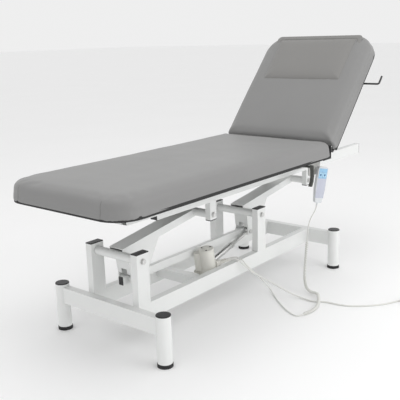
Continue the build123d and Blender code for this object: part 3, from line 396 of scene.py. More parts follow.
def solid(name: str, points: Sequence[Vector], faces: Sequence[Sequence[int]], look: Look,
          smooth: bool = True) -> bpy.types.Object:
    """Make a mesh object.

    Args:
        name: the piece's name.
        points: its corners, in metres.
        faces: corner numbers of each face.
        look: its finish.
        smooth: whether its faces are shaded smooth.

    Returns:
        The new object.
    """
    mesh = bpy.data.meshes.new(name)
    mesh.from_pydata([tuple(p) for p in points], [], [list(f) for f in faces])
    mesh.polygons.foreach_set("use_smooth", [smooth] * len(mesh.polygons))
    made = bpy.data.objects.new(name, mesh)
    bpy.context.scene.collection.objects.link(made)
    tidy = bmesh.new()
    tidy.from_mesh(mesh)
    bmesh.ops.recalc_face_normals(tidy, faces=tidy.faces)
    tidy.to_mesh(mesh)
    tidy.free()
    mesh.materials.append(look.material())
    return made


def lofted(name: str, rings: Sequence[Sequence[Vector]], look: Look, close: bool = True) -> bpy.types.Object:
    """Join rings of equal size into a skin.

    Args:
        name: the piece's name.
        rings: the rings' points, in order.
        look: its finish.
        close: whether the first and last ring are covered.

    Returns:
        The new object.
    """
    count = len(rings[0])
    points = [p for ring in rings for p in ring]
    faces: list[list[int]] = []
    for level in range(len(rings) - 1):
        for k in range(count):
            after = (k + 1) % count
            low, high = level * count, (level + 1) * count
            faces.append([low + k, low + after, high + after, high + k])
    if close:
        faces.append(list(range(count)))
        faces.append([(len(rings) - 1) * count + k for k in range(count)])
    return solid(name, points, faces, look)


def frames_along(path: Sequence[Vector]) -> list[tuple[Vector, Vector, Vector]]:
    """Carry a pair of cross directions along a path without twist.

    Args:
        path: the path's points.

    Returns:
        For each point, the direction of travel and the two cross directions.
    """
    result = []
    across = None
    for k, here in enumerate(path):
        run = (path[min(k + 1, len(path) - 1)] - path[max(k - 1, 0)]).normalized()
        if across is None:
            across = run.orthogonal()
        across = (across - run * across.dot(run)).normalized()
        result.append((run, across, run.cross(across)))
    return result


def tube(name: str, path: Sequence[Vector], radius: float, look: Look, sides: int = 12) -> bpy.types.Object:
    """Make a round tube along a path, closed at both ends."""
    rings = []
    for here, (_, across, up) in zip(path, frames_along(path)):
        turns = [2 * math.pi * k / sides for k in range(sides)]
        rings.append([here + across * (radius * math.cos(t)) + up * (radius * math.sin(t)) for t in turns])
    return lofted(name, rings, look)


def turned(name: str, foot: Vector, axis: Vector, profile: Sequence[tuple[float, float]], look: Look,
           sides: int = 32) -> bpy.types.Object:
    """Make a lathe-turned piece.

    Args:
        name: the piece's name.
        foot: where its axis starts.
        axis: its direction.
        profile: radius and distance along the axis, in metres.
        look: its finish.
        sides: how many facets go round.

    Returns:
        The new object.
    """
    axis = axis.normalized()
    across = axis.orthogonal().normalized()
    up = axis.cross(across)
    rings = []
    for radius, along in profile:
        turns = [2 * math.pi * k / sides for k in range(sides)]
        spokes = [across * math.cos(t) + up * math.sin(t) for t in turns]
        rings.append([foot + axis * along + spoke * radius for spoke in spokes])
    return lofted(name, rings, look)


def eased(share: float) -> float:
    """Go smoothly from 0 to 1."""
    share = min(1.0, max(0.0, share))
    return share * share * (3 - 2 * share)


# ------------------------------------------------------------------ leads


def smooth_line(points: Sequence[Vector], steps: int = 8) -> list[Vector]:
    """Follow a lead's control points with one NURBS spline.

    Args:
        points: the control points.
        steps: how finely each span is read.

    Returns:
        Points along the spline.
    """
    data = bpy.data.curves.new("route", "CURVE")
    data.dimensions = "3D"
    data.resolution_u = steps
    spline = data.splines.new("NURBS")
    spline.points.add(len(points) - 1)
    for control, p in zip(spline.points, points):
        control.co = (*p, 1.0)
    spline.order_u = 3
    spline.use_endpoint_u = True
    holder = bpy.data.objects.new("route", data)
    mesh = bpy.data.meshes.new_from_object(holder)
    line = [v.co.copy() for v in mesh.vertices]
    bpy.data.objects.remove(holder)
    bpy.data.curves.remove(data)
    bpy.data.meshes.remove(mesh)
    return line


def length_of(line: Sequence[Vector]) -> float:
    """Add up a line's length."""
    return sum((b - a).length for a, b in zip(line, line[1:]))


def evenly(line: Sequence[Vector], spacing: float) -> list[Vector]:
    """Read a line at even distances."""
    total = length_of(line)
    count = max(2, round(total / spacing))
    result, k, passed = [line[0].copy()], 0, 0.0
    for step in range(1, count):
        goal = total * step / count
        while passed + (line[k + 1] - line[k]).length < goal:
            passed += (line[k + 1] - line[k]).length
            k += 1
        span = line[k + 1] - line[k]
        result.append(line[k] + span * ((goal - passed) / span.length))
    return result + [line[-1].copy()]


@dataclass
class Leads:
    """The mains lead with its coil, and the handset's lead with its curly part."""

    drawing: Drawing
    nodes: dict[str, bpy.types.Object]
    mains_d: float = 6.5
    lead_d: float = 5.0
    curly_d: float = 14.0
    closed_pitch: float = 5.6
    hung_pitch: float = 8.8
    turn_points: int = 16
    coil_centre: tuple[float, float] = (1040.8, -760.8)
    coil_entry_deg: float = 66.0
    coil_rows: tuple[tuple[float, float], ...] = (
        (44.5, 3.3), (38.0, 3.3), (31.5, 3.3), (34.6, 8.9), (41.1, 8.9), (38.0, 14.5), (44.5, 14.5),
    )
    mains_length: float = 2.65
    hanging_length: float = 1.2
    floor_length: float = 1.9
    mains_route: list[Point] = field(default_factory=lambda: [
        (600, -112, 190), (610, -119.8, 192.5), (619, -133, 193), (628, -149, 182), (643, -161, 159),
        (668, -171, 133), (700, -182, 107), (731, -200, 83), (753, -230, 61), (765, -265, 42),
        (777, -299, 25), (793, -331, 10), (799, -364, 3.5), (794, -396, 3.3), (803, -424, 3.4),
        (820, -447, 3.3), (826, -477, 3.4), (827, -512, 3.3), (839, -552, 3.4), (865, -592, 3.3),
        (901, -632, 3.4), (945, -668, 3.3), (1000, -696, 3.4),
    ])
    mains_tail: list[Point] = field(default_factory=lambda: [
        (1080, -730, 13.6), (1101, -740.5, 9.8), (1122, -750, 7), (1146, -760.5, 7),
    ])
    handset_drop: list[Point] = field(default_factory=lambda: [
        (1050.9, -276.6, 356.2), (1049, -275.4, 341.9), (1040, -271, 324), (1024, -263, 301),
        (1009, -259, 267), (998, -264, 233), (988, -266, 203),
    ])
    curly_drop: list[Point] = field(default_factory=lambda: [
        (988, -266, 203), (972, -271, 158), (951, -280, 115), (927, -291, 76), (900, -307, 43),
        (879, -327, 20), (870, -352, 11),
    ])
    curly_floor: list[Point] = field(default_factory=lambda: [
        (870, -358, 11), (870, -364, 11), (869.5, -378, 11.5), (858, -396, 14.5), (834, -413, 19),
        (795, -437, 19), (762, -451, 9), (728, -457.5, 7.1), (694, -456.5, 7), (663, -450, 7.1),
        (646, -446, 7),
    ])
    handset_tail: list[Point] = field(default_factory=lambda: [
        (646, -446, 7), (633, -440, 4.5), (626, -428, 2.8), (628, -411, 2.6), (638, -389, 2.7),
        (656, -357, 2.6), (688, -315, 2.7), (722, -274, 2.6), (752, -242, 2.7), (774, -217, 3.6),
        (786, -199, 11), (784, -186, 28), (768, -177, 50), (744, -170, 77), (716, -164, 104),
        (686, -159, 132), (660, -153, 160), (648, -146, 181), (640, -131, 193), (628, -113, 195),
        (614, -99, 192), (602, -90, 189),
    ])

    def coil_turns(self) -> list[Point]:
        """Wind the put-away length: out to in on the floor, then back over it in two more rows."""
        points: list[Point] = []
        rows = self.coil_rows
        for turn, (radius, height) in enumerate(rows):
            following = rows[min(turn + 1, len(rows) - 1)]
            for k in range(self.turn_points):
                share = eased((k / self.turn_points - 0.55) / 0.45)
                r = radius + (following[0] - radius) * share
                z = height + (following[1] - height) * share
                angle = math.radians(self.coil_entry_deg) - 2 * math.pi * k / self.turn_points
                x = self.coil_centre[0] + r * math.cos(angle)
                points.append((x, self.coil_centre[1] + r * math.sin(angle), z))
        last_r, last_z = rows[-1]
        angle = math.radians(self.coil_entry_deg)
        end_x = self.coil_centre[0] + last_r * math.cos(angle)
        return points + [(end_x, self.coil_centre[1] + last_r * math.sin(angle), last_z)]

    def curls(self) -> tuple[list[Vector], list[Vector]]:
        """Wind the curly part as one close helix, opening from the lead and closing to it again.

        Returns:
            The points that hang, and the points that lie on the floor.
        """
        route = self.curly_drop + self.curly_floor
        step = self.closed_pitch * MM / self.turn_points
        middle = evenly(smooth_line(self.drawing.route(route)), step)
        radius = (self.curly_d - self.lead_d) / 2 * MM
        points, turn = [], 0.0
        for k, (here, (_, across, up)) in enumerate(zip(middle, frames_along(middle))):
            size = radius * eased(min(k, len(middle) - 1 - k) / (2 * self.turn_points))
            points.append(here + across * (size * math.cos(turn)) + up * (size * math.sin(turn)))
            stretch = 1.0 - eased(k / (0.55 * len(middle)))
            pitch = self.closed_pitch + (self.hung_pitch - self.closed_pitch) * stretch
            turn += 2 * math.pi * step / (pitch * MM)
        meets_floor = self.drawing.at(*self.curly_floor[0])
        split = min(range(len(middle)), key=lambda k: (middle[k] - meets_floor).length)
        return points[:split + 1], points[split:]

    def mains(self) -> bpy.types.Object:
        """Make the mains lead from the actuator, over the rail, to the coil and the wall plug."""
        route = self.mains_route + self.coil_turns() + self.mains_tail
        line = smooth_line(self.drawing.route(route), 6)
        piece = tube("mains_lead_sheath", line, self.mains_d / 2 * MM, Look.SHEATH, 14)
        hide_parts("mains_lead", "mains_coil")
        tuple(line[0])
        tuple(line[0])
        tuple(self.drawing.at(643, -161, 159))
        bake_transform(piece)
        log.info("mains lead %.3f m", length_of(line))
        return piece

    def hanging(self) -> bpy.types.Object:
        """Make the handset's lead from its sleeve down to where its curly part meets the floor."""
        thin = smooth_line(self.drawing.route(self.handset_drop))
        line = evenly(thin, 0.003)[:-1] + self.curls()[0]
        piece = tube("handset_lead_hanging", line, self.lead_d / 2 * MM, Look.SHEATH, 10)
        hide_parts("curly_lead", "curly_lead_bend")
        tuple(line[0])
        start, end = self.drawing.at(*self.curly_drop[0]), self.drawing.at(*self.curly_drop[-1])
        tuple(start)
        tuple(end)
        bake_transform(piece)
        log.info("handset lead, hanging %.3f m", length_of(line))
        return piece

    def on_floor(self) -> bpy.types.Object:
        """Make the rest of the handset's lead: curly on the floor, then thin up to the actuator."""
        thin = smooth_line(self.drawing.route(self.handset_tail))
        line = self.curls()[1] + evenly(thin, 0.004)[1:]
        piece = tube("handset_lead_floor", line, self.lead_d / 2 * MM, Look.SHEATH, 10)
        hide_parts("handset_lead")
        tuple(line[0])
        top, foot = self.drawing.at(602, -90, 189), self.drawing.at(660, -153, 160)
        tuple(top)
        tuple(foot)
        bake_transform(piece)
        log.info("handset lead, on the floor %.3f m", length_of(line))
        return piece

    def build(self) -> None:
        """Make every lead."""
        self.mains()
        self.hanging()
        self.on_floor()


# ------------------------------------------------------------------ upholstery


class End(Enum):
    """The end of a pad that has the wide round corners."""

    FOOT = -1
    HEAD = 1


@dataclass
class Pad:
    """A foam pad in leatherette: a slightly smaller slab pushed out as far as its cap allows."""

    name: str
    node: str
    body: str
    x0: float
    x1: float
    width: float
    z0: float
    thickness: float
    corner_r: float
    round_end: End
    edge_r: float = 24.0
    small_r: float = 14.0
    shrink: float = 3.5
    voxel: float = 8.5
    cap: float = 7.0
    crown: float = 2.5
    frames: int = 16
    look: Look = Look.UPHOLSTERY

    def outline(self, inset: float, steps: int = 10) -> list[tuple[float, float]]:
        """Go round the pad in plan.

        Args:
            inset: distance in from the full outline.
            steps: points in each corner.

        Returns:
            The outline's points, in millimetres.
        """
        x0, x1, half = self.x0 + inset, self.x1 - inset, self.width / 2 - inset
        foot_r = self.corner_r if self.round_end is End.FOOT else self.small_r
        head_r = self.corner_r if self.round_end is End.HEAD else self.small_r
        foot_r, head_r = max(foot_r - inset, 3.0), max(head_r - inset, 3.0)
        corners = [
            (x1 - head_r, half - head_r, head_r, 0.0), (x0 + foot_r, half - foot_r, foot_r, 90.0),
            (x0 + foot_r, foot_r - half, foot_r, 180.0), (x1 - head_r, head_r - half, head_r, 270.0),
        ]
        points = []
        for cx, cy, r, start in corners:
            for k in range(steps + 1):
                a = math.radians(start + 90.0 * k / steps)
                points.append((cx + r * math.cos(a), cy + r * math.sin(a)))
        return points

    def section(self) -> list[tuple[float, float]]:
        """Give the slab's side as inset and height, from its underside to its crown."""
        top, r, low = self.thickness, self.edge_r, 6.0
        side = [(low + 10, 0.0), (low, 0.0), (1.8, 1.8), (0.0, low), (0.0, (top - r) * 0.6), (0.0, top - r)]
        arc = [(r - r * math.cos(a), top - r + r * math.sin(a))
               for a in (math.radians(15.0 * k) for k in range(1, 7))]
        inner = [(r + 45, top + self.crown * 0.5), (r + 120, top + self.crown)]
        return side + arc + inner

    def slab(self, place: Callable[[float, float, float], Vector]) -> bpy.types.Object:
        """Make the slab that the simulation starts from."""
        rings = []
        for inset, height in self.section():
            z = self.z0 + self.shrink * 0.4 + height * (1 - 1.1 * self.shrink / self.thickness)
            rings.append([place(x, y, z) for x, y in self.outline(inset + self.shrink)])
        return lofted(self.name, rings, self.look)

    def swell(self, piece: bpy.types.Object) -> None:
        """Remesh the slab and let pressure push its cover out, with the underside held on its board.

        The pressure doesn't settle by itself: nearly every free point reaches the cap, so the cap
        sets how full the pad is.
        """
        remesh = piece.modifiers.new("remesh", "REMESH")
        remesh.mode = "VOXEL"
        remesh.voxel_size = self.voxel * MM
        remesh.use_smooth_shade = True
        self.apply(piece)
        rest = [v.co.copy() for v in piece.data.vertices]
        held = piece.vertex_groups.new(name="on_the_board")
        underside = (self.z0 + 9.0) * MM
        held.add([v.index for v in piece.data.vertices if v.co.z < underside], 1.0, "REPLACE")
        cloth = piece.modifiers.new("cloth", "CLOTH")
        settings = cloth.settings
        settings.quality = 4
        settings.mass = 0.4
        settings.tension_stiffness = settings.compression_stiffness = 25.0
        settings.bending_stiffness = 3.0
        settings.use_pressure = True
        settings.uniform_pressure_force = 4.0
        settings.vertex_group_mass = held.name
        settings.effector_weights.gravity = 0.0
        cloth.collision_settings.use_collision = False
        cloth.point_cache.frame_end = self.frames
        for frame in range(1, self.frames + 1):
            bpy.context.scene.frame_set(frame)
        self.apply(piece)
        bpy.context.scene.frame_set(1)
        for vertex, was in zip(piece.data.vertices, rest):
            move = vertex.co - was
            if move.length > self.cap * MM:
                vertex.co = was + move * (self.cap * MM / move.length)

    def apply(self, piece: bpy.types.Object) -> None:
        """Turn what the modifiers give into the piece's own mesh."""
        shown = piece.evaluated_get(bpy.context.evaluated_depsgraph_get())
        mesh = bpy.data.meshes.new_from_object(shown)
        piece.modifiers.clear()
        piece.data = mesh
        mesh.materials.clear()
        mesh.materials.append(self.look.material())

    def settle(self, piece: bpy.types.Object) -> None:
        """Give the top the soft unevenness of pulled cover over foam, then refine it."""
        for vertex in piece.data.vertices:
            if vertex.co.z > (self.z0 + 12.0) * MM:
                wave = noise.noise(Vector((vertex.co.x * 5.0, vertex.co.y * 9.0, 0.3 * self.x0)))
                pull = noise.noise(Vector((vertex.co.x * 16.0, vertex.co.y * 5.0, 7.0)))
                vertex.co += vertex.normal * (wave * 0.0011 + pull * 0.0005)
        even = piece.modifiers.new("even", "SMOOTH")
        even.factor = 0.5
        even.iterations = 5
        finer = piece.modifiers.new("finer", "SUBSURF")
        finer.levels = finer.render_levels = 1
        self.apply(piece)
        piece.data.polygons.foreach_set("use_smooth", [True] * len(piece.data.polygons))

    def build(self, drawing: Drawing, turn: Matrix) -> bpy.types.Object:
        """Make the pad.

        Args:
            drawing: the drawing's frame.
            turn: how the pad stands at rest, from where it lies flat.

        Returns:
            The finished pad, riding on its body.
        """
        piece = self.slab(lambda x, y, z: Vector((x, y, z)) * MM)
        self.swell(piece)
        self.settle(piece)
        piece.data.transform(turn @ Matrix.Translation(drawing.origin))
        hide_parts(self.node)
        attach(piece, self.body)
        log.info("%s: %d faces", self.name, len(piece.data.polygons))
        return piece


@dataclass
class HeadCushion:
    """The thin cushion on the backrest: a sewn border around a filled middle."""

    drawing: Drawing
    turn: Matrix
    x0: float = 1469.0
    x1: float = 1781.0
    width: float = 486.0
    z0: float = 641.0
    border: float = 26.0
    border_t: float = 4.5
    rise: float = 15.0
    corner_r: float = 22.0
    side_parts: tuple[int, int] = (34, 52)
    stitch_pitch: float = 0.0045
    stitch_share: float = 0.36
    stitch_half: float = 0.00055

    def outline(self, inset: float, steps: int = 8) -> list[tuple[float, float]]:
        """Go round the cushion in plan, at an inset."""
        x0, x1, half = self.x0 + inset, self.x1 - inset, self.width / 2 - inset
        r = max(self.corner_r - inset * 0.5, 5.0)
        corners = [(x1 - r, half - r, 0), (x0 + r, half - r, 90)]
        corners += [(x0 + r, r - half, 180), (x1 - r, r - half, 270)]
        points = []
        for cx, cy, start in corners:
            for k in range(steps + 1):
                a = math.radians(start + 90.0 * k / steps)
                points.append((cx + r * math.cos(a), cy + r * math.sin(a)))
        ring = []
        for k, (ax, ay) in enumerate(points):
            bx, by = points[(k + 1) % len(points)]
            side = (k // (steps + 1)) % 2
            parts = self.side_parts[side] if k % (steps + 1) == steps else 1
            ring += [(ax + (bx - ax) * m / parts, ay + (by - ay) * m / parts) for m in range(parts)]
        return ring

    def place(self, x: float, y: float, z: float) -> Vector:
        """Put a point of the flat backrest where it stands."""
        return self.turn @ self.drawing.at(x, y, z)

    def section(self) -> list[tuple[float, float]]:
        """Give inset and height from the underside, round the edge and over the middle."""
        t, b = self.border_t, self.border
        rows = [(6.0, 0.0), (1.2, 0.2), (0.0, t * 0.5), (1.2, t - 0.3), (4.0, t), (b - 4, t)]
        rows += [(b - 1.5, t - 0.6), (b, t - 1.6), (b + 1.5, t - 0.4)]
        rows += [(b + 5, t + self.rise * 0.28), (b + 12, t + self.rise * 0.55), (b + 26, t + self.rise * 0.8)]
        rows += [(b + 50, t + self.rise * 0.95), (b + 85, t + self.rise)]
        return rows + [(b + 125, t + self.rise * 1.02)]

    def wrinkle(self, x: float, y: float, inset: float) -> float:
        """Give the soft folds that run in from the seam."""
        depth = math.exp(-((inset - self.border - 10.0) / 16.0) ** 2)
        folds = noise.noise(Vector((x * 0.055, y * 0.055, 3.0)))
        return folds * 1.6 * depth

    def build(self) -> None:
        """Make the cushion and its stitches."""
        rings = []
        for inset, height in self.section():
            z = self.z0 + height
            rings.append([self.place(x, y, z + self.wrinkle(x, y, inset)) for x, y in self.outline(inset)])
        piece = lofted("head_cushion_cover", rings, Look.CUSHION)
        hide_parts("head_cushion")
        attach(piece, "backrest")
        stitches = self.stitches()
        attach(stitches, "backrest")
        log.info("head cushion with %d stitch faces", len(stitches.data.polygons))

    def stitches(self) -> bpy.types.Object:
        """Make the row of stitches along the border."""
        line = [self.place(x, y, self.z0 + self.border_t + 0.1) for x, y in self.outline(self.border - 5.0)]
        line = evenly(line + line[:1], self.stitch_pitch)
        points: list[Vector] = []
        faces: list[list[int]] = []
        up = (self.turn.to_3x3() @ Vector((0, 0, 1))).normalized()
        for a, b in zip(line, line[1:]):
            run = (b - a) * self.stitch_share
            side = run.cross(up).normalized() * self.stitch_half
            middle = (a + b) / 2
            base = len(points)
            for end in (-1, 1):
                tip = middle + run * end
                points += [tip + side, tip + up * 0.0007, tip - side, tip - up * 0.0008]
            for k in range(4):
                faces.append([base + k, base + (k + 1) % 4, base + 4 + (k + 1) % 4, base + 4 + k])
            faces += [[base, base + 1, base + 2, base + 3], [base + 4, base + 5, base + 6, base + 7]]
        return solid("head_cushion_stitches", points, faces, Look.SEAM)


@dataclass
class Upholstery:
    """The two pads, their corner darts and the head cushion."""

    drawing: Drawing
    pad_bottom: float = 567.0
    pad_t: float = 75.0
    seat_x0: float = -216.0
    hinge_x: float = 1140.0
    hinge_z: float = 618.0
    gap: float = 7.0
    back_length: float = 658.0
    back_angle: float = 47.5
    foot_corner_r: float = 105.0
    dart_deg: float = 4.0

    def raised(self) -> Matrix:
        """Give the turn that stands the flat backrest up about its hinge."""
        centre = self.drawing.at(self.hinge_x, 0, self.hinge_z)
        turn = Matrix.Rotation(math.radians(-self.back_angle), 4, "Y")
        return Matrix.Translation(centre) @ turn @ Matrix.Translation(-centre)

    def dart(self, side: int, seat: bpy.types.Object) -> bpy.types.Object:
        """Make the closed dart where one foot corner's curve begins, pressed into the cover.

        Args:
            side: -1 for the near corner, 1 for the far one.
            seat: the finished seat pad.

        Returns:
            The dart's seam.
        """
        cx = self.seat_x0 + self.foot_corner_r
        cy = side * (310.0 - self.foot_corner_r)
        angle = math.radians(180.0 - side * self.dart_deg)
        out = Vector((math.cos(angle), math.sin(angle), 0.0))
        line = []
        for height in range(64, 5, -6):
            start = self.drawing.at(cx, cy, self.pad_bottom + height) + out * 0.16
            hit, spot, normal, _ = seat.ray_cast(start, -out)
            if hit:
                line.append(spot - normal * 0.0001)
        name = "seat_dart_near" if side < 0 else "seat_dart_far"
        return tube(name, smooth_line(line), 0.0006, Look.SEAM, 8)

    def build(self) -> None:
        """Make all the upholstery."""
        seat = Pad("seat_cover", "seat_pad", "top_frame", self.seat_x0, self.hinge_x - self.gap, 620.0,
                   self.pad_bottom, self.pad_t, self.foot_corner_r, End.FOOT)
        seat_piece = seat.build(self.drawing, Matrix.Identity(4))
        for side in (-1, 1):
            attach(self.dart(side, seat_piece), "top_frame")
        back_x0 = self.hinge_x + self.gap
        back = Pad("backrest_cover", "back_pad", "backrest", back_x0, back_x0 + self.back_length, 620.0,
                   self.pad_bottom, self.pad_t, 115.0, End.HEAD)
        back.build(self.drawing, self.raised())
        HeadCushion(self.drawing, self.raised()).build()


# ------------------------------------------------------------------ small hardware


@dataclass
class MotorDetails:
    """What shows on the motor: the screws in its lid, its parting lines and a boss on its lid."""

    drawing: Drawing
    foot: Point = (516.0, -61.0, 172.0)
    lean_deg: float = 9.0
    height: float = 88.0
    radius: float = 32.0

    def axis(self) -> Vector:
        """Give the motor's own direction."""
        lean = math.radians(self.lean_deg)
        return Vector((-math.sin(lean), 0.0, math.cos(lean)))

    def build(self) -> None:
        """Make the details and let them ride on the actuator."""
        axis = self.axis()
        across = Vector((axis.z, 0.0, -axis.x))
        lid = self.drawing.at(*self.foot) + axis * self.height * MM
        pieces = []
        for k in range(3):
            angle = math.radians(100.0 + 120.0 * k)
            spot = lid + (across * math.cos(angle) + Vector((0, 1, 0)) * math.sin(angle)) * 0.021
            profile = [(0.0001, -0.001), (0.0034, -0.001), (0.0034, 0.0009), (0.0029, 0.0015),
                       (0.0017, 0.0016), (0.0014, 0.0006), (0.0001, 0.0005)]
            pieces.append(turned(f"motor_lid_screw_{k + 1}", spot, axis, profile, Look.BLACK_STEEL, 20))
        ring = [(0.0322, 0.0), (0.0327, 0.0006), (0.0327, 0.0022), (0.0322, 0.0028), (0.031, 0.0014)]
        foot = self.drawing.at(*self.foot)
        for name, height in (("motor_lid_seam", self.height - 13.0), ("motor_foot_seam", 6.0)):
            pieces.append(turned(name, foot + axis * height * MM, axis, ring, Look.MOTOR, 48))
        boss = [(0.0001, -0.001), (0.011, -0.001), (0.011, 0.0012), (0.0098, 0.002), (0.0001, 0.0021)]
        pieces.append(turned("motor_lid_boss", lid, axis, boss, Look.MOTOR, 36))
        for piece in pieces:
            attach(piece, "actuator")
        log.info("motor details: %d", len(pieces))


@dataclass
class HandsetDetails:
    """The handset's blue label with its frame around the keys, and a raised arrow on each key."""

    drawing: Drawing
    top: Point = (1068.0, -302.0, 534.0)
    turn_deg: float = -33.0
    lean_deg: float = 9.0
    key_pitch: float = 10.0
    key_half: float = 9.2
    key_top: float = -25.2
    key_foot: float = -46.8

    def place(self, x: float, y: float, z: float) -> Vector:
        """Put a point of the handset, in millimetres from its top, into the row frame."""
        turn = Matrix.Rotation(math.radians(self.turn_deg), 3, "Z")
        lean = Matrix.Rotation(math.radians(self.lean_deg), 3, "Y")
        return self.drawing.at(*self.top) + (turn @ lean @ Vector((x, y, z))) * MM

    def label(self) -> bpy.types.Object:
        """Make the blue film: a thin plate with an opening around each key."""
        xs = [-20.4, -self.key_pitch - self.key_half, self.key_half - self.key_pitch,
              self.key_pitch - self.key_half, self.key_pitch + self.key_half, 20.4]
        zs = [-6.6, self.key_top, self.key_foot, -52.0]
        points = [self.place(x, y, z) for y in (-0.35, 0.05) for z in zs for x in xs]
        width, layer = len(xs), len(xs) * len(zs)
        faces = []
        for row in range(len(zs) - 1):
            for column in range(width - 1):
                if row == 1 and column in (1, 3):
                    continue
                a = row * width + column
                quad = [a, a + 1, a + 1 + width, a + width]
                faces += [quad, [layer + k for k in reversed(quad)]]
        edges: dict[tuple[int, int], int] = {}
        for quad in faces[::2]:
            for a, b in zip(quad, quad[1:] + quad[:1]):
                edges[(min(a, b), max(a, b))] = edges.get((min(a, b), max(a, b)), 0) + 1
        faces += [[a, b, layer + b, layer + a] for (a, b), used in edges.items() if used == 1]
        return solid("handset_label", points, faces, Look.LABEL, False)

    def arrow(self, side: int) -> bpy.types.Object:
        """Make the raised arrow on one key: up on the left, down on the right."""
        cx, cz, way = side * self.key_pitch, (self.key_top + self.key_foot) / 2, -side
        flat = [(-5, -1), (0, 6), (5, -1), (2, -1), (2, -6), (-2, -6), (-2, -1)]
        points = [self.place(cx + x, y, cz + z * way) for y in (-1.05, -0.55) for x, z in flat]
        count = len(flat)
        faces = [list(range(count)), [count + k for k in range(count)]]
        faces += [[k, (k + 1) % count, count + (k + 1) % count, count + k] for k in range(count)]
        name = "key_arrow_up" if side < 0 else "key_arrow_down"
        return solid(name, points, faces, Look.ARROW, False)

    def build(self) -> None:
        """Make the handset's details."""
        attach(self.label(), "top_frame")
        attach(self.arrow(-1), "key_up")
        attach(self.arrow(1), "key_down")
        log.info("handset details: 3")


@dataclass
class Hardware:
    """The couch's steel and plastic, whose CAD shapes are right and only need their finishes."""

    nodes: dict[str, bpy.types.Object]

    def looks(self) -> dict[Look, list[str]]:
        """List the nodes that take each finish."""
        parts = ("tubes", "beam", "lever", "gussets")
        arms = [f"{end}_arm_{part}" for end in ("foot", "head") for part in parts]
        return {
            Look.ENAMEL: arms + [
                "legs", "cross_rails", "base_rails", "posts", "actuator_crossmember", "actuator_clevis",
                "tie_rod", "frame_tubes", "hangers", "seat_subframe", "gas_crossbar", "back_subframe",
            ],
            # Near-black boards: partly black underlining, partly painted shadow under the pads.
            Look.LINING: ["seat_board", "back_board"],
            Look.BLACK_CAP: ["leg_caps", "post_caps", "tie_rod_caps", "top_frame_caps"],
            Look.RUBBER: ["rubber_feet"],
            Look.BLACK_STEEL: ["seat_hinge_leaves", "back_hinge_leaves", "roll_rod", "gas_cylinder"],
            Look.BRIGHT_STEEL: ["pivot_bolts", "clevis_bolt", "foot_arm_pin", "head_arm_pin", "hanger_bolts",
                                "hinge_pins", "gas_rod"],
            Look.SPINDLE: ["spindle_tube", "actuator_rod"],
            Look.NYLON: ["foot_arm_bushes", "head_arm_bushes"],
            Look.MOTOR: ["motor_housing", "actuator_gearbox", "lead_plugs"],
            Look.GRIP: ["release_lever"],
            Look.BRACKET: ["handset_bracket"],
            Look.HANDSET: ["handset_shell"],
            Look.FILM: ["handset_keypad"],
            Look.KEY: ["key_up", "key_down"],
            Look.SHEATH: ["mains_plug"],
        }

    def build(self) -> None:
        """Give each node its finish."""
        for look, names in self.looks().items():
            for name in names:
                node = self.nodes[name]
                if not node.material_slots:
                    node.data.materials.append(look.material())
                for held in node.material_slots:
                    held.material = look.material()
            log.info("%s: %d nodes", look.value.name, len(names))


# ------------------------------------------------------------------ studio


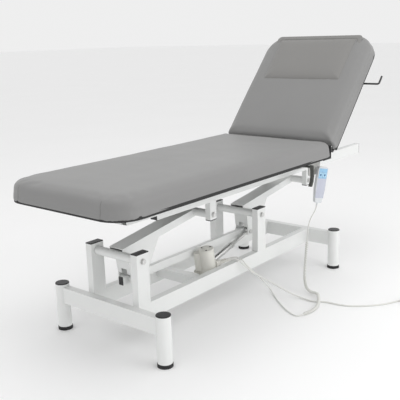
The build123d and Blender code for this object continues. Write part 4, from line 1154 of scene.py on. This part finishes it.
@dataclass
class Studio:
    """A pale floor, soft light from above and the near side, and the camera."""

    drawing: Drawing
    camera_at: Point = (-1543.0, -1710.6, 1123.7)
    yaw_deg: float = 50.69
    pitch_deg: float = 14.0
    roll_deg: float = -1.57
    lens: float = 59.14

    def camera(self) -> None:
        """Set the camera at the couch's near foot corner."""
        yaw, pitch, roll = (math.radians(v) for v in (self.yaw_deg, self.pitch_deg, self.roll_deg))
        forward = Vector((math.sin(yaw) * math.cos(pitch), math.cos(yaw) * math.cos(pitch), -math.sin(pitch)))
        level = Vector((math.cos(yaw), -math.sin(yaw), 0.0))
        upright = level.cross(forward)
        right = level * math.cos(roll) + upright * math.sin(roll)
        up = upright * math.cos(roll) - level * math.sin(roll)
        data = bpy.data.cameras.new("camera")
        data.lens, data.sensor_width = self.lens, 36.0
        data.clip_start, data.clip_end = 0.05, 100.0
        eye = bpy.data.objects.new("camera", data)
        rows = [[right[k], up[k], -forward[k]] for k in range(3)]
        eye.matrix_world = Matrix.Translation(self.drawing.at(*self.camera_at)) @ Matrix(rows).to_4x4()
        bpy.context.scene.collection.objects.link(eye)
        bpy.context.scene.camera = eye

    def floor(self) -> None:
        """Lay the pale floor."""
        bench = Bench("studio_floor")
        mist = bench.clouds(1.2)
        material = bench.finish({
            "Base Color": bench.tint(mist, (0.93, 0.93, 0.93), (0.96, 0.96, 0.96)),
            "Roughness": mist * 0.1 + 0.75,
        })
        size = 60.0
        mesh = bpy.data.meshes.new("studio_floor")
        mesh.from_pydata([(-size, -size, -0.0005), (size, -size, -0.0005), (size, size, -0.0005),
                          (-size, size, -0.0005)], [], [(0, 1, 2, 3)])
        mesh.materials.append(material)
        ground = bpy.data.objects.new("studio_floor", mesh)
        bpy.context.scene.collection.objects.link(ground)

    def lamp(self, name: str, place: Point, aim: Point, size: float, power: float) -> None:
        """Hang a soft square light.

        Args:
            name: the light's name.
            place: where it hangs, in the drawing.
            aim: where it points.
            size: its side in metres.
            power: in watts.
        """
        data = bpy.data.lights.new(name, "AREA")
        data.shape, data.size, data.energy = "SQUARE", size, power
        lamp = bpy.data.objects.new(name, data)
        spot, goal = self.drawing.at(*place), self.drawing.at(*aim)
        turn = (goal - spot).to_track_quat("-Z", "Y").to_matrix().to_4x4()
        lamp.matrix_world = Matrix.Translation(spot) @ turn
        bpy.context.scene.collection.objects.link(lamp)

    def build(self) -> None:
        """Make the studio."""
        self.camera()
        self.floor()
        world = bpy.data.worlds.new("studio_light")
        world.use_nodes = True
        world.node_tree.nodes["Background"].inputs["Color"].default_value = (1.0, 1.0, 1.0, 1.0)
        world.node_tree.nodes["Background"].inputs["Strength"].default_value = 0.86
        bpy.context.scene.world = world
        middle = (800.0, 0.0, 500.0)
        self.lamp("top_softbox", (300.0, -300.0, 3300.0), middle, 3.0, 20.0)
        self.lamp("near_side_softbox", (1500.0, -3300.0, 1700.0), middle, 2.4, 30.0)
        bpy.context.scene.view_settings.view_transform = "Standard"
        log.info("studio ready")


def main() -> None:
    """Build the couch's looks on its frame."""
    logging.basicConfig(level=logging.INFO, format="%(name)s: %(message)s")
    bpy.ops.wm.read_factory_settings(use_empty=True)
    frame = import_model()
    drawing = Drawing()
    studio = Studio(drawing)
    studio.build()
    Leads(drawing, frame["nodes"]).build()
    Hardware(frame["nodes"]).build()
    MotorDetails(drawing).build()
    HandsetDetails(drawing).build()
    Upholstery(drawing).build()


if __name__ == "__main__":
    main()
